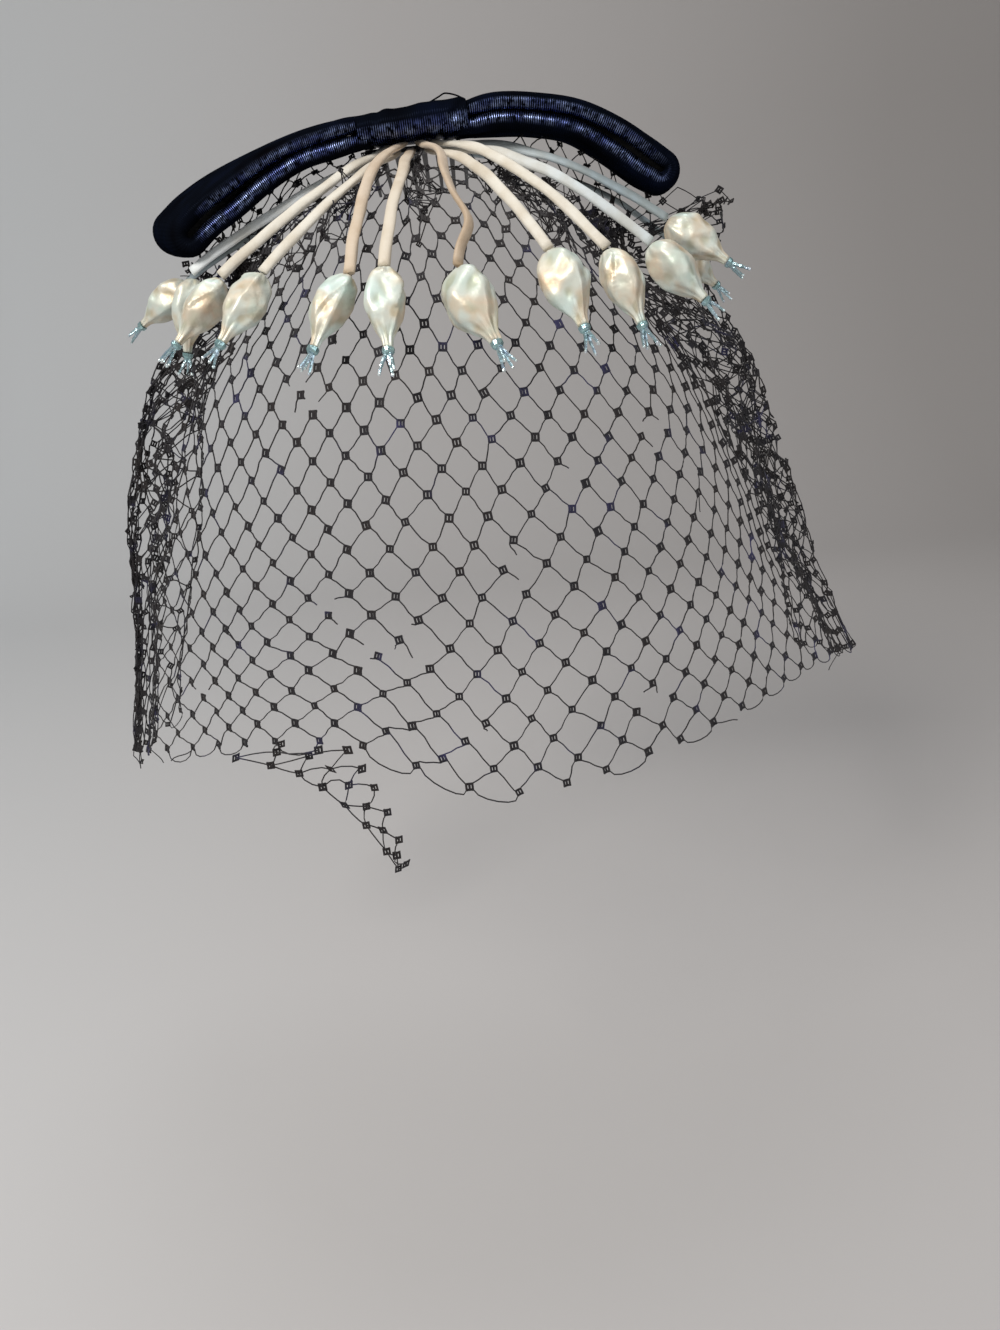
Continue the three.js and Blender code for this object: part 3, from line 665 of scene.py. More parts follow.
def make_bud(row, index, satin):
    steps, around = 52, 60
    rng = np.random.default_rng(300 + index)
    s = np.linspace(0, 1, steps + 1)
    at = BUD_LENGTH * (s + 0.02 * np.sin(2 * math.pi * s))
    radius = smooth(BUD, at).radius[:, None]
    turn = circle(around)[None]
    far = (at / BUD_LENGTH)[:, None]
    facets = rng.integers(4, 6)
    angles = 2 * math.pi * (np.arange(facets) + rng.uniform(-0.28, 0.28, facets)) / facets
    total = np.exp(-CREASE.sharp * 1.03) * np.ones_like(turn * far)
    for k, angle in enumerate(angles):
        lean = rng.uniform(-0.9, 0.9)
        depth = rng.uniform(0.78, 0.95) + 0.05 * np.sin(5 * far + k * 2.1)
        facing = np.cos(turn - angle - lean * (far - 0.4))
        total = total + np.exp(-CREASE.sharp * depth / np.maximum(facing, 0.35))
    shape = -np.log(total) / CREASE.sharp
    fold_at = turn - rng.uniform(0, 2 * math.pi) - rng.uniform(1.2, 2.4) * far
    fold = (fold_at / (2 * math.pi)) % 1.0
    wrap = CREASE.wrap * np.exp(-fold / 0.13) * np.sin(math.pi * np.clip(far * 1.05, 0, 1)) ** 0.5
    neck = smooth_step(far, 0.62, 0.9)
    pleats = CREASE.pleats * np.cos(7 * turn + 3 * far + index) * neck
    crown = CREASE.crown * np.cos(9 * turn + index) * (1 - smooth_step(far, 0.0, 0.2))
    crumple = CREASE.crumple * waves(3.0 * turn, 16 * far, 200 + index, 6)
    crumple = crumple + CREASE.fine * waves(6 * turn, 24 * far, 230 + index, 6)
    r = row.girth * radius * (shape + wrap + pleats + crown + crumple * (1 - 0.5 * neck))
    sway = 0.5 * np.sin(math.pi * far) * rng.uniform(-1, 1, 2)
    local = xyz(r * np.cos(turn) + sway[:, :1], at[:, None], sway[:, 1:] - r * np.sin(turn))
    foot, _, spin = bud_frame(row, index)
    warm = np.array(PEARL.warm) * rng.uniform(0.97, 1.03)
    share = (0.5 + 0.5 * waves(turn, 5 * far, 260 + index))[..., None]
    tint = np.clip(blend(warm, np.array(PEARL.cool), share), 0, 0.93)
    # Painted shade: where the crumple sinks in, the creases are darkened towards olive.
    tint = blend(tint, np.array(PEARL.valley), smooth_step(-crumple, 0.0, 0.06)[..., None] * 0.6)
    tint = blend(tint, np.array(PEARL.cuff), (np.exp(-fold / 0.02) * 0.3)[..., None])
    add_piece(f"bud_wrap_{index + 1:02d}", "bud_satin", f"bud_{index + 1:02d}",
              *closed_tube(local @ spin.T + foot), satin, {"tint": tint.reshape(-1, 3)})


def make_stamens(row, index, tinsel):
    rng = np.random.default_rng(400 + index)
    foot, axis, spin = bud_frame(row, index)
    count = 3 if index % 2 else 4
    parts, tints = [], []

    def add(part, tint):
        parts.append(part)
        tints.append(np.tile(tint, (len(part[0]), 1)))

    ring = np.array([[0, 0, 0], [0, 0.9, 0], [0, 1.5, 0]], float)
    add(round_tube(ring, np.array([1.55, 1.5, 1.0]), 12), FOIL.cuff)
    for k in range(count):
        lean = PRONG.splay * rng.uniform(0.55, 1.15)
        spun = 2 * math.pi * (k + 0.3 * index) / count + rng.uniform(-0.25, 0.25)
        long = PRONG.length * rng.uniform(0.82, 1.0)
        t = np.linspace(0, 1, 9)
        away = np.sin(lean) * t * long + rng.uniform(-0.25, 0.35) * np.sin(math.pi * t)
        route = xyz(away * math.cos(spun), 0.2 + np.cos(lean) * t * long, -away * math.sin(spun))
        size = PRONG.base + (PRONG.tip - PRONG.base) * t
        size = size * (1 + 0.12 * np.sin(7 * t * math.pi + k))
        shade = rng.uniform(0.75, 1.0) * np.array(FOIL.thread)
        add(round_tube(route, size, 5), shade)
        add(bead(route[-1], PRONG.bead * rng.uniform(0.75, 1.1)), FOIL.bead)
    points, faces = joined(parts)
    placed = points @ spin.T + foot + axis * (BUD_LENGTH + SEAM_GAP)
    add_piece(f"stamen_foil_{index + 1:02d}", "stamen_tinsel", f"stamens_{index + 1:02d}",
              placed, faces, tinsel, {"tint": np.concatenate(tints)}, smooth=False)


def bead(centre, radius):
    rings, around = 7, 8
    turn = (math.pi * (np.arange(rings) + 0.5) / rings)[:, None]
    spin = circle(around)
    ball = xyz(np.sin(turn) * np.cos(spin), np.cos(turn), np.sin(turn) * np.sin(spin))
    return closed_tube(ball * radius + centre)


# ---------------------------------------------------------------- veil
# Points of the veil's right half at each height: its middle, temple, side and wing.
VEIL = by_column("v front_y front_z temple_x temple_y temple_z side_x side_y side_z wing_x wing_y wing_z", [
    (0.0, -3, 1.7, 34, -4, -6.5, 56, 0, -19, 70, 14, -23),
    (0.12, -31, -2.6, 37, -25, -13, 57, -4, -26, 72, 24, -31),
    (0.28, -58, -21, 45, -42, -31, 64, -7, -37, 83, 33, -39),
    (0.42, -74, -45, 57, -51, -52, 81, -8, -55, 102, 36, -55),
    (0.6, -83, -79, 66, -57, -85, 98, -6, -88, 111, 39, -87),
    (0.8, -90, -122, 75, -60, -126, 113, -3, -127, 118, 44, -126),
    (1.0, -94, -165, 84, -61, -167, 131, 0, -169, 126, 49, -168),
])
VEIL_LEAN = 5.0  # how far the hem is shifted towards +X
# How far the hem's edge rises and is pushed out, round the veil.
HEM = by_column("u rise dent", [
    (-1.0, -22, 0), (-0.8, -21, 0), (-0.64, -12, -2), (-0.5, -1, -4), (-0.36, 9, -5), (-0.25, 15, -2),
    (-0.16, 18, 0), (-0.1, 16, 1), (-0.05, 7, 1), (0.04, 0, 0), (0.2, 5, 0), (0.45, 11, -2), (0.62, 2, 0),
    (0.8, -10, 2), (1.0, -18, 0),
])
HEM_START = 0.55  # the height where the hem's own shape starts to show
FOLDS = Sizes(count=3, start=0.5, to=0.98, depth=8.0, full=0.4, hem_depth=2.0)  # down each side
NET_SINK = 0.6  # the threads lie in the middle of the veil's thickness

ROWS = 32
COLUMNS = 46
CELL = Sizes(wide=9.6, drop=6.9)  # a relaxed cell: knot to knot along a row, and row to row
NET = Sizes(top=0.012, depth=0.958, lowest=0.985)  # where the rows lie, as shares down the veil
# How far columns and rows wander and each knot strays, in cells, and how far it turns, in degrees.
STRAY = Sizes(columns=0.13, across=0.032, rows=0.16, down=0.035, turn=8)
CROWDED = Sizes(spacing=8.5, least=0.15, lean=62)  # knots closer together than this lean over
# How far round the veil (u) each column of the net (c) lies, near the top and at the hem. The net is
# rolled up tight along its left outer edge, and lower down it is stretched wide in front of that
# roll. The right side is crowded from the face outwards.
SPREAD_LEFT = by_column("c u", [
    (0.0, 0.0), (7.0, 0.333), (11.0, 0.56), (13.0, 0.675), (18.0, 0.745), (23.0, 1.0),
])
SPREAD_LEFT_LOW = by_column("c u", [
    (0.0, 0.0), (7.0, 0.37), (10.0, 0.595), (12.0, 0.675), (18.5, 0.745), (23.0, 1.0),
])
LOW = (0.45, 0.80)  # heights between which the table for the hem takes over
LEFT_SAG = Sizes(shift=0.028, start=0.12, full=0.38)  # the left rows lie lower, closer at the hem
SPREAD_RIGHT = by_column("c u", [
    (0.0, 0.0), (7.0, 0.333), (9.5, 0.44), (12.0, 0.53), (15.0, 0.65), (18.0, 0.79), (20.0, 0.9),
    (23.0, 1.0),
])
SPREAD_RIGHT_LOW = by_column("c u", [
    (0.0, 0.0), (7.0, 0.32), (10.0, 0.46), (12.0, 0.56), (14.0, 0.66), (18.0, 0.76), (21.0, 0.9),
    (23.0, 1.0),
])
RIGHT_LOW = (0.72, 0.90)  # the same for the right side
# The free top corners of the net stand out, and its left edge curls in behind.
FLARES = table("side x y z start below above", [
    (1, 25, 6, 9, 0.8, -0.2, 0.42), (-1, -9, 4, 4, 0.8, -0.2, 0.35), (-1, 17, 3, 0, 0.8, 0.3, 0.95),
])
FLARE_FADE = 0.32
CRUMPLE = Sizes(start=0.44, full=0.62, across=0.5, down=0.25, through=1.0)
# Places round the veil to which the net is drawn together, near its top.
GATHERS = table("u width pull fades", [
    (-0.62, 0.07, 0.75, 0.34), (-0.42, 0.07, 0.8, 0.26), (-0.22, 0.06, 0.85, 0.22), (-0.02, 0.06, 0.8, 0.2),
    (0.17, 0.06, 0.7, 0.22), (0.34, 0.07, 0.8, 0.26), (0.56, 0.07, 0.75, 0.36),
])
PLEAT = 1.5  # how far the columns stand in and out by turns where they are drawn together
# Threads are gone within a reach of each place, in millimetres; their ends are left as stubs.
TEARS = by_column("u v reach", [
    (0.0, 0.66, 3.0), (0.058, 0.69, 4.0), (-0.055, 0.775, 4.0), (-0.18, 0.455, 6.5), (-0.13, 0.395, 3.5),
    (0.28, 0.53, 5.0), (0.16, 0.595, 3.5), (-0.15, 0.75, 5.0), (-0.105, 0.8, 5.5), (0.188, 0.885, 5.0),
    (-0.015, 0.9, 3.5), (-0.38, 0.88, 4.5),
])
# A narrow folded strip that hangs from the hem: the places of its two edges, row by row.
TAIL = by_column("outer_x outer_z inner_x inner_z", [
    (-68, -150.5, -52, -143), (-57, -151, -41, -143), (-48.5, -152, -33, -143), (-42, -155, -30, -149),
    (-36.5, -160, -27.5, -155), (-31.5, -167, -25, -163), (-27, -176, -23, -172), (-24.5, -182, -22, -180),
])
# Where that strip hangs, the x past which it slopes backwards, and how far its knots lean.
STRIP = Sizes(y=-87.0, bend=-38, slope=0.55, lean=0.18)
FACING = Sizes(start=7, full=12, share=0.5)  # the side columns' knots turn partly to the front
THREAD = 0.19  # a thread's radius
BUNDLE = 0.25  # how much thicker the threads of the rolled outer edges are
KNOT_HALF = 1.1  # half a knot's width
KNOT_BAR = Sizes(half_width=0.295, half_thickness=0.13)
# How a thread leaves and meets its knots: less steeply than the line between them, and by chance.
LEAD = Sizes(flatter=0.34, stray=0.10, share=0.33)
STUB = Sizes(least=0.2, most=0.6, curl=0.8)  # the share that is left of a torn thread, and its curl
# The hem's loops: their sag, and the share that is kept, which is less over the left columns.
HEM_LOOPS = Sizes(sag=0.28, kept=0.8, left=0.32, kept_left=0.25)


def veil_surface(u, v):
    """Points of the veil's outer face: u across from -1 to 1, v down from the top edge to the hem."""
    at, hem = smooth(VEIL, v), smooth(HEM, u)
    side = np.where(u < 0, -1.0, 1.0)
    stops = [-1, 0, 1, 2, 3]
    x = [-at.temple_x, 0 * at.temple_x, at.temple_x, at.side_x, at.wing_x]
    y = [at.temple_y, at.front_y, at.temple_y, at.side_y, at.wing_y]
    z = [at.temple_z, at.front_z, at.temple_z, at.side_z, at.wing_z]
    x, y, z = (hermite(stops, np.stack(axis), np.abs(u) * 3) for axis in (x, y, z))
    point = xyz(side * x, y, z)
    low = smooth_step(v, HEM_START, 1)
    outwards = unit(point * (1, 1, 0))
    push = hem.dent * low + fold_depth(u, v)
    point = point + outwards * push[..., None]
    point[..., 2] += hem.rise * low * v
    point[..., 0] += VEIL_LEAN * v ** 3
    return point


def fold_depth(u, v):
    share = np.clip((np.abs(u) - FOLDS.start) / (FOLDS.to - FOLDS.start), 0, 1)
    fade = 1 + (FOLDS.hem_depth / FOLDS.depth - 1) * smooth_step(v, FOLDS.full, 1)
    height = np.where(v < FOLDS.full, smooth_step(v, 0, FOLDS.full), fade)
    ends = np.sqrt(np.clip(np.sin(math.pi * share), 0, 1))
    return FOLDS.depth * height * ends * np.sin(2 * math.pi * FOLDS.count * share)


def flared(u, v):
    """How far the net's free edges stand away from the veil's plain surface."""
    total = np.zeros((*np.shape(u), 3))
    for flare in FLARES:
        share = smooth_step(u * flare.side, flare.start, 1)
        share = share * smooth_step(v, flare.below, flare.below + 0.15)
        share = share * (1 - smooth_step(v, flare.above - FLARE_FADE, flare.above))
        total = total + np.array([flare.x, flare.y, flare.z]) * share[..., None]
    return total


def spread(c, v, upper, lower, low):
    """How far round the veil column c lies, between a table for the top and one for the hem."""
    high = smooth(upper, np.abs(c)).u
    return high + (smooth(lower, np.abs(c)).u - high) * smooth_step(v, *low)


def net_point(c, v):
    """Where the net's column c, counted from the middle, lies at height v."""
    crowd = smooth_step(np.abs(c), 9.5, 13.5) * (1 - 0.6 * smooth_step(np.abs(c), 21, 23))
    calm = 1 - 0.7 * smooth_step(v, 0.85, 0.95)
    c = c + CRUMPLE.across * crowd * calm * waves(c * 1.15, v * 21, 12)
    v = v + CRUMPLE.down / ROWS * crowd * calm * waves(c * 1.3, v * 19, 14)
    v = np.clip(v, 0, 1)
    left = spread(c, v, SPREAD_LEFT, SPREAD_LEFT_LOW, LOW)
    sag = smooth_step(np.where(c < 0, left, 0), LEFT_SAG.start, LEFT_SAG.full)
    v = v + LEFT_SAG.shift * np.sin(math.pi * v) * sag
    u = np.where(c < 0, -left, spread(c, v, SPREAD_RIGHT, SPREAD_RIGHT_LOW, RIGHT_LOW))
    pleat = 0
    for g in GATHERS:
        strength = g.pull * (1 - smooth_step(v, g.fades * 0.35, g.fades + 0.1))
        near = np.exp(-((u - g.u) / g.width) ** 2)
        u = u - strength * (u - g.u) * near
        pleat = pleat + strength * near
    u = np.clip(u, -1, 1)
    point = veil_surface(u, v) + flared(u, v)
    step = 0.01
    across = veil_surface(np.clip(u + step, -1, 1), v) - veil_surface(np.clip(u - step, -1, 1), v)
    down = veil_surface(u, v + step) - veil_surface(u, v - step)
    loose = smooth_step(np.abs(u), CRUMPLE.start, CRUMPLE.full) * (1 - 0.6 * smooth_step(v, *LOW))
    ruffle = PLEAT * pleat * np.cos(math.pi * c) + CRUMPLE.through * loose * waves(c * 1.6, v * 16, 13)
    return point + unit(np.cross(down, across)) * (ruffle - NET_SINK)[..., None]


def make_net(material):
    i, j = np.meshgrid(np.arange(COLUMNS + 1), np.arange(ROWS), indexing="xy")
    odd = j % 2
    c = i - COLUMNS / 2 + 0.5 * odd
    v = NET.top + (j / (ROWS - 1)) * NET.depth
    calm = 1 - 0.7 * smooth_step(np.abs(c), 20, 23)
    wander = STRAY.columns * waves(c * 0.33, j * 0.22, 1)
    c = c + calm * (wander + RNG.normal(0, STRAY.across, c.shape))
    wander = STRAY.rows * waves(c * 0.25, j * 0.2, 2)
    v = np.clip(v + (wander + RNG.normal(0, STRAY.down, c.shape)) / ROWS, 0, NET.lowest)
    across = net_point(c + 0.3, v) - net_point(c - 0.3, v)
    spacing = length(across) / 0.6
    down = unit(net_point(c, v + 0.01) - net_point(c, v - 0.01))
    side = unit(np.cross(unit(np.cross(down, across)), down))
    forward = FACING.share * smooth_step(np.abs(c), FACING.start, FACING.full)[..., None]
    towards = np.where(side[..., :1] < 0, -1, 1) * np.array([1.0, 0, 0])
    side = unit(side + (towards - side) * forward)
    normal = unit(np.cross(down, side))
    side = unit(np.cross(normal, down))
    lean = 1 - np.clip(spacing / CROWDED.spacing, CROWDED.least, 1)
    lean = lean * math.radians(CROWDED.lean) * RNG.choice([-1, 1], c.shape)
    side, normal = turned(side, normal, lean)
    side, down = turned(side, down, RNG.normal(0, math.radians(STRAY.turn), c.shape))
    knots = Sizes(place=net_point(c, v), side=side, down=down, normal=normal,
                  real=(i < COLUMNS) | (odd == 0))
    parts = [knot_mesh(knots), link_mesh(knots), hem_mesh(knots), tail_mesh(), fray_mesh(knots)]
    piece = add_piece("net_veil", "veil_net", "veil", *joined(parts), material, smooth=False)
    gather = add_piece("net_gather", "veil_net", None, *gathered_mesh(), material, smooth=False)


def box_template(x0, x1, y0, y1, z0, z1):
    points = [(x, y, z) for x in (x0, x1) for y in (y0, y1) for z in (z0, z1)]
    faces = [(0, 1, 3, 2), (4, 6, 7, 5), (0, 4, 5, 1), (2, 3, 7, 6), (0, 2, 6, 4), (1, 5, 7, 3)]
    return np.array(points), np.array(faces)


def copies(points, faces):
    """Points (copy, point, xyz) in one list, and the faces of one copy repeated for each."""
    offsets = (np.arange(len(points)) * points[0].size // 3)[:, None, None]
    return points.reshape(-1, 3), (np.array(faces) + offsets).reshape(-1, 4).tolist()


def knot_mesh(knots, scale=1.0):
    """Each knot is a woven square: three bars down over two across."""
    h, w, t = KNOT_HALF, KNOT_BAR.half_width, KNOT_BAR.half_thickness
    bars = [box_template(x - w, x + w, -h, h, -t + lift, t + lift)
            for x, lift in ((-h + w, 0.1), (0.0, -0.06), (h - w, 0.1))]
    bars += [box_template(-h, h, y - w, y + w, -t - lift, t - lift)
             for y, lift in ((-h + w, 0.08), (h - w, 0.08))]
    template, faces = joined(bars)
    place, side, down, normal = (part[knots.real][:, None] for part in (
        knots.place, knots.side, knots.down, knots.normal))
    local = template * (RNG.uniform(0.88, 1.08, (len(place), 1, 1)) * scale)
    return copies(place + side * local[..., :1] + down * local[..., 1:2] + normal * local[..., 2:], faces)


def corner(knots, j, i, to_side, to_down):
    reach = KNOT_HALF * 0.9
    return (knots.place[j, i] + knots.side[j, i] * to_side * reach
            + knots.down[j, i] * to_down * reach)


def strands(routes, radius=THREAD):
    """Closed four-sided tubes along many routes of the same number of points."""
    radius = np.broadcast_to(radius, (len(routes),))[:, None, None]
    tangent = unit(np.gradient(routes, axis=1))
    guide = unit(np.cross(tangent, np.array([0.31, 0.52, 0.79])))
    other = np.cross(tangent, guide)
    rings = [routes + guide * radius, routes + other * radius,
             routes - guide * radius, routes - other * radius]
    return copies(np.stack(rings, 2), tube_faces(routes.shape[1], 4))


def bezier(start, lead_out, lead_in, end, steps=4):
    t = np.linspace(0, 1, steps)[:, None]
    a, b, c, d = (points[:, None] for points in (start, lead_out, lead_in, end))
    return (1 - t) ** 3 * a + 3 * (1 - t) ** 2 * t * b + 3 * (1 - t) * t ** 2 * c + t ** 3 * d


def bent_threads(places, pairs, sway, second_bend, radius=THREAD):
    """Threads between pairs of places; each bends by chance, and again by a share of that."""
    first, second = np.array(pairs).T
    a, b = places[first], places[second]
    bend = RNG.normal(0, sway, a.shape)
    lead_in = b - (b - a) / 3 + bend * second_bend
    return strands(bezier(a, a + (b - a) / 3 + bend, lead_in, b), radius)


def link_mesh(knots):
    """The threads from each knot down to its two neighbours below; torn ones are left as stubs."""
    parts = []
    for j in range(ROWS - 1):
        for to_side in (-1, 1):
            i = np.arange(COLUMNS + 1)
            child = i + j % 2 - (to_side < 0)
            ok = (child >= 0) & (child <= COLUMNS)
            ok[ok] = knots.real[j, i[ok]] & knots.real[j + 1, child[ok]]
            i, child = i[ok], child[ok]
            a = corner(knots, j, i, to_side, 1)
            b = corner(knots, j + 1, child, -to_side, -1)
            span = length(b - a)[:, None]
            straight = (b - a) / np.maximum(span, 1e-6)
            leave = straight - LEAD.flatter * knots.down[j, i]
            leave = unit(leave + RNG.normal(0, LEAD.stray, a.shape)) * span * LEAD.share
            arrive = straight - LEAD.flatter * knots.down[j + 1, child]
            arrive = unit(arrive + RNG.normal(0, LEAD.stray, a.shape)) * span * LEAD.share
            thick = THREAD * (1 + BUNDLE * smooth_step(np.abs(i - COLUMNS / 2), 14, 18))
            parts.append((a, a + leave, b - arrive, b, thick))
    starts, outs, ins, ends, radii = (np.concatenate(column) for column in zip(*parts))
    middle = (starts + ends) / 2
    torn = (length(middle[:, None] - veil_surface(TEARS.u, TEARS.v)) < TEARS.reach).any(1)[:, None]
    stub = RNG.uniform(STUB.least, STUB.most, (len(starts), 1))
    curl = RNG.normal(0, STUB.curl, starts.shape)
    ends = np.where(torn, starts + (ends - starts) * stub + curl, ends)
    outs = np.where(torn, starts + (outs - starts) * stub, outs)
    ins = np.where(torn, starts + (ends - starts) * 0.6 + curl * 0.3, ins)
    return strands(bezier(starts, outs, ins, ends), radii)


# Where the net's top edge goes up under the bow, on each side.
SHOULDER_LEFT = by_column("u x y z", [
    (0.1, 12, 1, 6.4), (0.33, 32, 3, 4.4), (0.55, 50, 5, -4.2), (0.8, 61, 6, -11.0), (1.0, 69, 8, -15.0),
])
SHOULDER_RIGHT = by_column("u x y z", [
    (0.1, 14, 1, 6.6), (0.33, 36, 4, 5.4), (0.55, 52, 5, 0.6), (0.7, 62, 6, -7.0), (0.85, 76, 9, -11.2),
    (1.0, 97, 16, -13.2),
])
SHOULDER = Sizes(rows=5, columns=12, jitter=0.9, scale=0.9, kept=0.95)
# The crowded net of the veil's sides: a ribbon between two lines down the surface.
BANDS = table("side inner outer top bottom rows columns", [
    (1, 0.5, 0.7, 0.3, 0.56, 16, 4), (1, 0.49, 0.69, 0.55, 0.8, 15, 4), (-1, 0.62, 0.73, 0.32, 0.46, 8, 3),
    (-1, 0.69, 0.73, 0.44, 1.0, 34, 2),
])
BAND = Sizes(jitter=0.7, scale=0.8, kept=0.68)
# Tight pleats that run down from the bow: where each starts and ends on the veil.
PLEATS = table("u v to_u to_v wide knots", [
    (-0.1, 0.0, -0.18, 0.22, 5.0, 30), (-0.3, 0.02, -0.28, 0.21, 4.4, 18),
    (-0.48, 0.01, -0.58, 0.12, 4.6, 15), (0.02, 0.0, 0.0, 0.24, 4.6, 28), (0.13, 0.0, 0.25, 0.15, 4.2, 20),
    (0.22, 0.0, 0.32, 0.28, 4.8, 32), (0.36, 0.0, 0.5, 0.17, 5.0, 24), (0.52, 0.0, 0.78, 0.03, 3.6, 16),
    (0.74, 0.0, 0.98, 0.03, 4.6, 18),
])
PLEAT_KNOT = 0.68  # the pleats' knots are drawn tight, to this share of an open one
PLEAT_SINK = 1.2  # the pleats lie a little behind the open net
PLEAT_RISE = 5.5  # and reach this far up under the knot
LAY = 0.35  # how unevenly the gathered knots lie
# Loose ends: a place on the net and how far the end lies from it.
FRAYS = by_column("u v x y z", [
    (-0.74, 0.985, 5, -2, -8), (0.62, 0.985, -4, -1, -8), (-0.97, 0.02, -9, 0, 1), (-0.9, 0.06, -6, -2, -3),
    (0.98, 0.02, 8, 2, 1), (0.95, 0.22, 3, 0, 7), (-0.42, 0.985, -7, -2, -3), (0.24, 0.975, 7, 0, 0),
    (-0.3, 0.8, -2, -2, 6), (0.33, 0.62, 0, -2, -5),
])


def strip_mesh(place, down, sizes):
    """A loose strip of net on a grid of places, rows first; a share of its knots is kept."""
    rows, columns = place.shape[:2]
    place = place + RNG.normal(0, sizes.jitter, place.shape)
    down = unit(down + RNG.normal(0, LAY, place.shape))
    across = unit(unit(np.gradient(place, axis=1)) + RNG.normal(0, LAY, place.shape))
    normal = unit(np.cross(down, across))
    knots = Sizes(place=place, side=unit(np.cross(normal, down)), down=down, normal=normal,
                  real=RNG.uniform(size=(rows, columns)) < sizes.kept)
    pairs = []
    for row in range(rows - 1):
        for step in (row % 2 - 1, row % 2):
            pairs += [(row * columns + k, (row + 1) * columns + k + step)
                      for k in range(columns) if 0 <= k + step < columns]
    threads = bent_threads(place.reshape(-1, 3), pairs, 0.4, 1)
    return joined([knot_mesh(knots, sizes.scale), threads])


def strip_grid(rows, columns):
    """Shares across and down for the knots of a strip; every other row is set over by half."""
    i, j = np.meshgrid(np.arange(columns), np.arange(rows), indexing="xy")
    return (i + 0.5 * (j % 2)) / (columns - 0.5), j / (rows - 1)


def shoulder_mesh(side, edge):
    """Open net between the bow's underside and the veil's top edge, on one side."""
    along, fall = strip_grid(SHOULDER.rows, SHOULDER.columns)
    u = edge.u[0] + (edge.u[-1] - edge.u[0]) * along
    at = smooth(edge, u)
    top = xyz(side * at.x, at.y, at.z)
    low = 0 * u + 0.05
    bottom = veil_surface(side * u, low) + flared(side * u, low)
    return strip_mesh(top + (bottom - top) * fall[..., None], unit(bottom - top), SHOULDER)


def band_mesh(row):
    across, fall = strip_grid(row.rows, row.columns)
    v = row.top + (row.bottom - row.top) * fall
    inner = veil_surface(0 * v + row.side * row.inner, v)
    outer = veil_surface(0 * v + row.side * row.outer, v)
    place = inner + (outer - inner) * across[..., None]
    return strip_mesh(place, unit(np.gradient(place, axis=0)), BAND)


def pleat_mesh(row):
    """One tight pleat: crowded knots, thinning downwards, and the threads that cross between them."""
    count = row.knots
    t = np.sort(RNG.uniform(size=count) ** 1.25)
    u = row.u + (row.to_u - row.u) * t
    v = row.v + (row.to_v - row.v) * t
    loose = RNG.normal(0, row.wide / 2, (count, 3)) * np.array([1, 0.35, 0.8])
    place = veil_surface(u, v) + flared(u, v) + loose + np.array([0, 0.7, -0.7]) * PLEAT_SINK
    place[:, 2] += PLEAT_RISE * np.clip(1 - t / 0.35, 0, 1) * (1 - smooth_step(np.abs(u), 0.25, 0.6))
    down = unit(np.array([0.0, -0.3, -1.0]) + RNG.normal(0, LAY, place.shape))
    normal = unit(np.cross(down, np.array([1.0, 0, 0])) + RNG.normal(0, 0.6, place.shape))
    side = unit(np.cross(normal, down))
    knots = Sizes(place=place, side=side, down=down, normal=unit(np.cross(down, side)),
                  real=np.ones(count, bool))
    pairs = [(k, k + hop) for hop in (1, 2, 4) for k in range(count - hop)]
    threads = bent_threads(place, pairs, 0.6, 0, THREAD * 0.85)
    return joined([knot_mesh(knots, PLEAT_KNOT), threads])


def gathered_mesh():
    """The net that is gathered: its shoulders under the loops, its pleats and its crowded sides."""
    parts = [shoulder_mesh(-1, SHOULDER_LEFT), shoulder_mesh(1, SHOULDER_RIGHT)]
    parts += [pleat_mesh(row) for row in PLEATS]
    return joined(parts + [band_mesh(row) for row in BANDS])


def fray_mesh(knots):
    places = knots.place[knots.real]
    wanted = veil_surface(FRAYS.u, FRAYS.v)
    a = places[length(places - wanted[:, None]).argmin(1)]
    end = xyz(FRAYS.x, FRAYS.y, FRAYS.z)
    bend = RNG.normal(0, 1.3, a.shape)
    return strands(bezier(a, a + end * 0.3 + bend, a + end * 0.7 - bend * 0.6, a + end, 7), THREAD * 0.9)


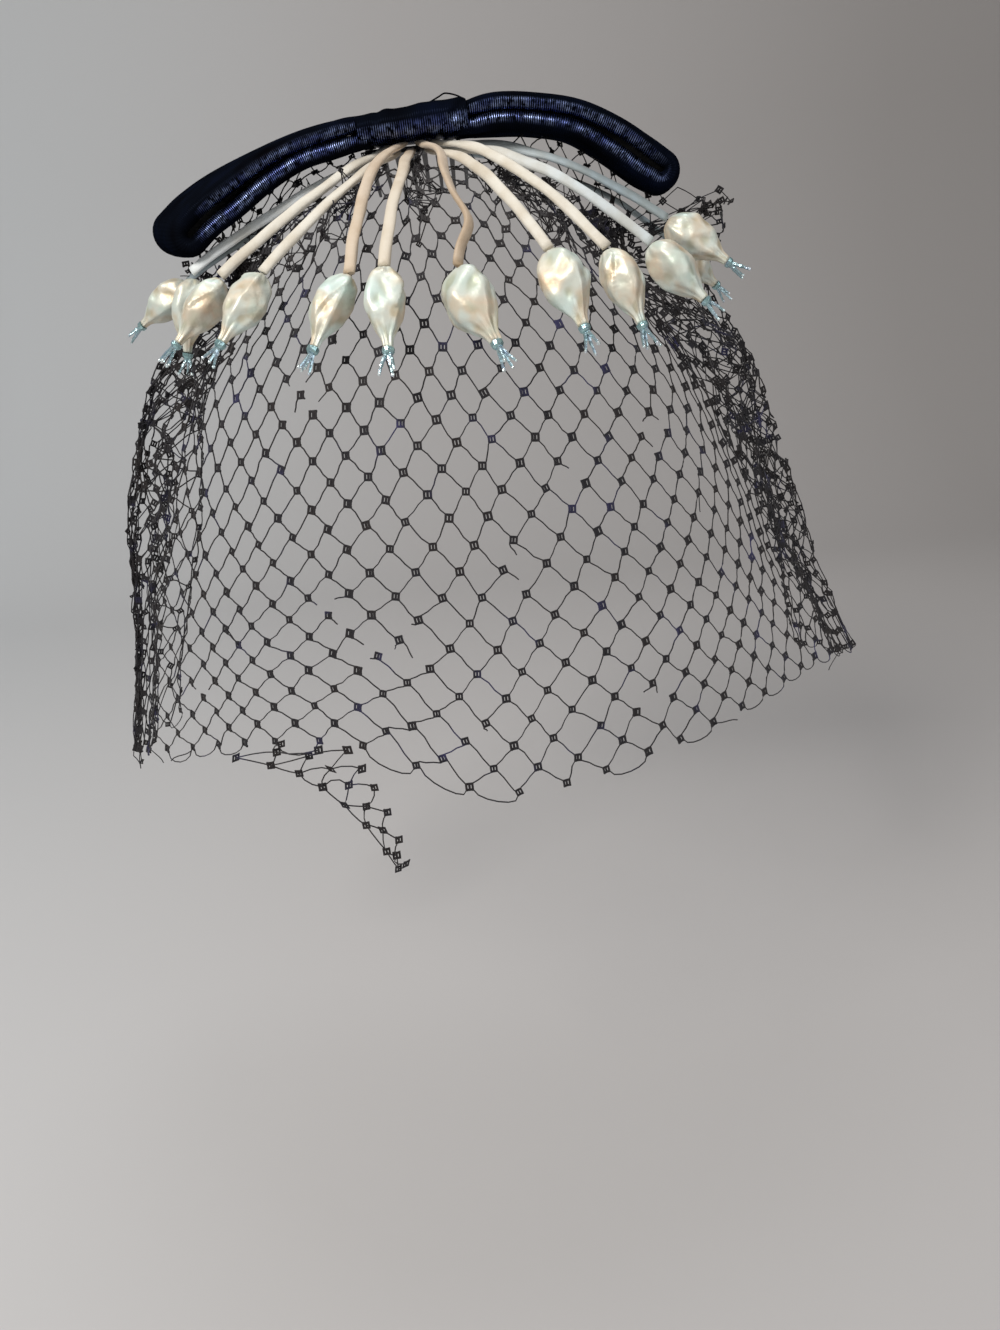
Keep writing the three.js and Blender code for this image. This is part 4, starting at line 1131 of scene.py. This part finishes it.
def tail_mesh():
    """The strip that hangs from the hem: knots along its edges and middle, and threads between."""
    def edge(x, z, behind):
        return xyz(x, STRIP.y + STRIP.slope * np.maximum(0, STRIP.bend - x) - behind, z)

    outer, inner = edge(TAIL.outer_x, TAIL.outer_z, 0), edge(TAIL.inner_x, TAIL.inner_z, 1)
    middle = (outer[:-1] + inner[1:]) / 2 + np.array([0, 1.2, 0])
    place = np.concatenate([outer, middle, inner])
    lean = RNG.normal(0, STRIP.lean, len(place))
    side = unit(xyz(np.cos(lean), 0.1, np.sin(lean)))
    down = unit(xyz(-np.sin(lean), 0, -np.cos(lean)))
    knots = Sizes(place=place, side=side, down=down, normal=unit(np.cross(side, down)),
                  real=np.ones(len(place), bool))
    last = len(outer)
    pairs = []
    for k in range(last - 1):
        pairs += [(k, last + k), (last + k, k + 1), (last + k, 2 * last + k),
                  (2 * last - 1 + k, last + k), (k, k + 1)]
    pairs.append((last - 1, 3 * last - 2))
    threads = bent_threads(place, pairs, 0.9, 1)
    return joined([knot_mesh(knots), threads])


def hem_mesh(knots):
    """Rounded loops that close the cells along the hem."""
    j = ROWS - 1
    i = np.arange(COLUMNS)
    i = i[knots.real[j, i] & knots.real[j, i + 1]]
    a, b = corner(knots, j, i, 1, 1), corner(knots, j, i + 1, -1, 1)
    drop = length(b - a)[:, None] * HEM_LOOPS.sag
    fall = unit(knots.down[j, i] + knots.down[j, i + 1])
    share = np.where(i < COLUMNS * HEM_LOOPS.left, HEM_LOOPS.kept_left, HEM_LOOPS.kept)
    keep = RNG.uniform(size=len(i)) < share
    return strands(bezier(a, a + fall * drop, b + fall * drop, b, 7)[keep])


# ---------------------------------------------------------------- assembly
make_camera()
make_lights()
make_sweep()
bow_material = bow_satin()
bow_knot(bow_material)
bow_loop("loop_left", LEFT_LOOP, -1, SHADED_TIP.left, bow_material, 3)
bow_loop("loop_right", RIGHT_LOOP, 1, SHADED_TIP.right, bow_material, 8)
cord_material, bud_material, tinsel_material = map(finish, ("stem_cord", "bud_satin", "stamen_tinsel"))
for number, stem_row in enumerate(STEMS):
    make_stem(stem_row, number, cord_material)
    make_bud(stem_row, number, bud_material)
    make_stamens(stem_row, number, tinsel_material)
make_net(finish("veil_net"))
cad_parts["hair_comb"].material_slots[0].material = finish("comb_plastic")
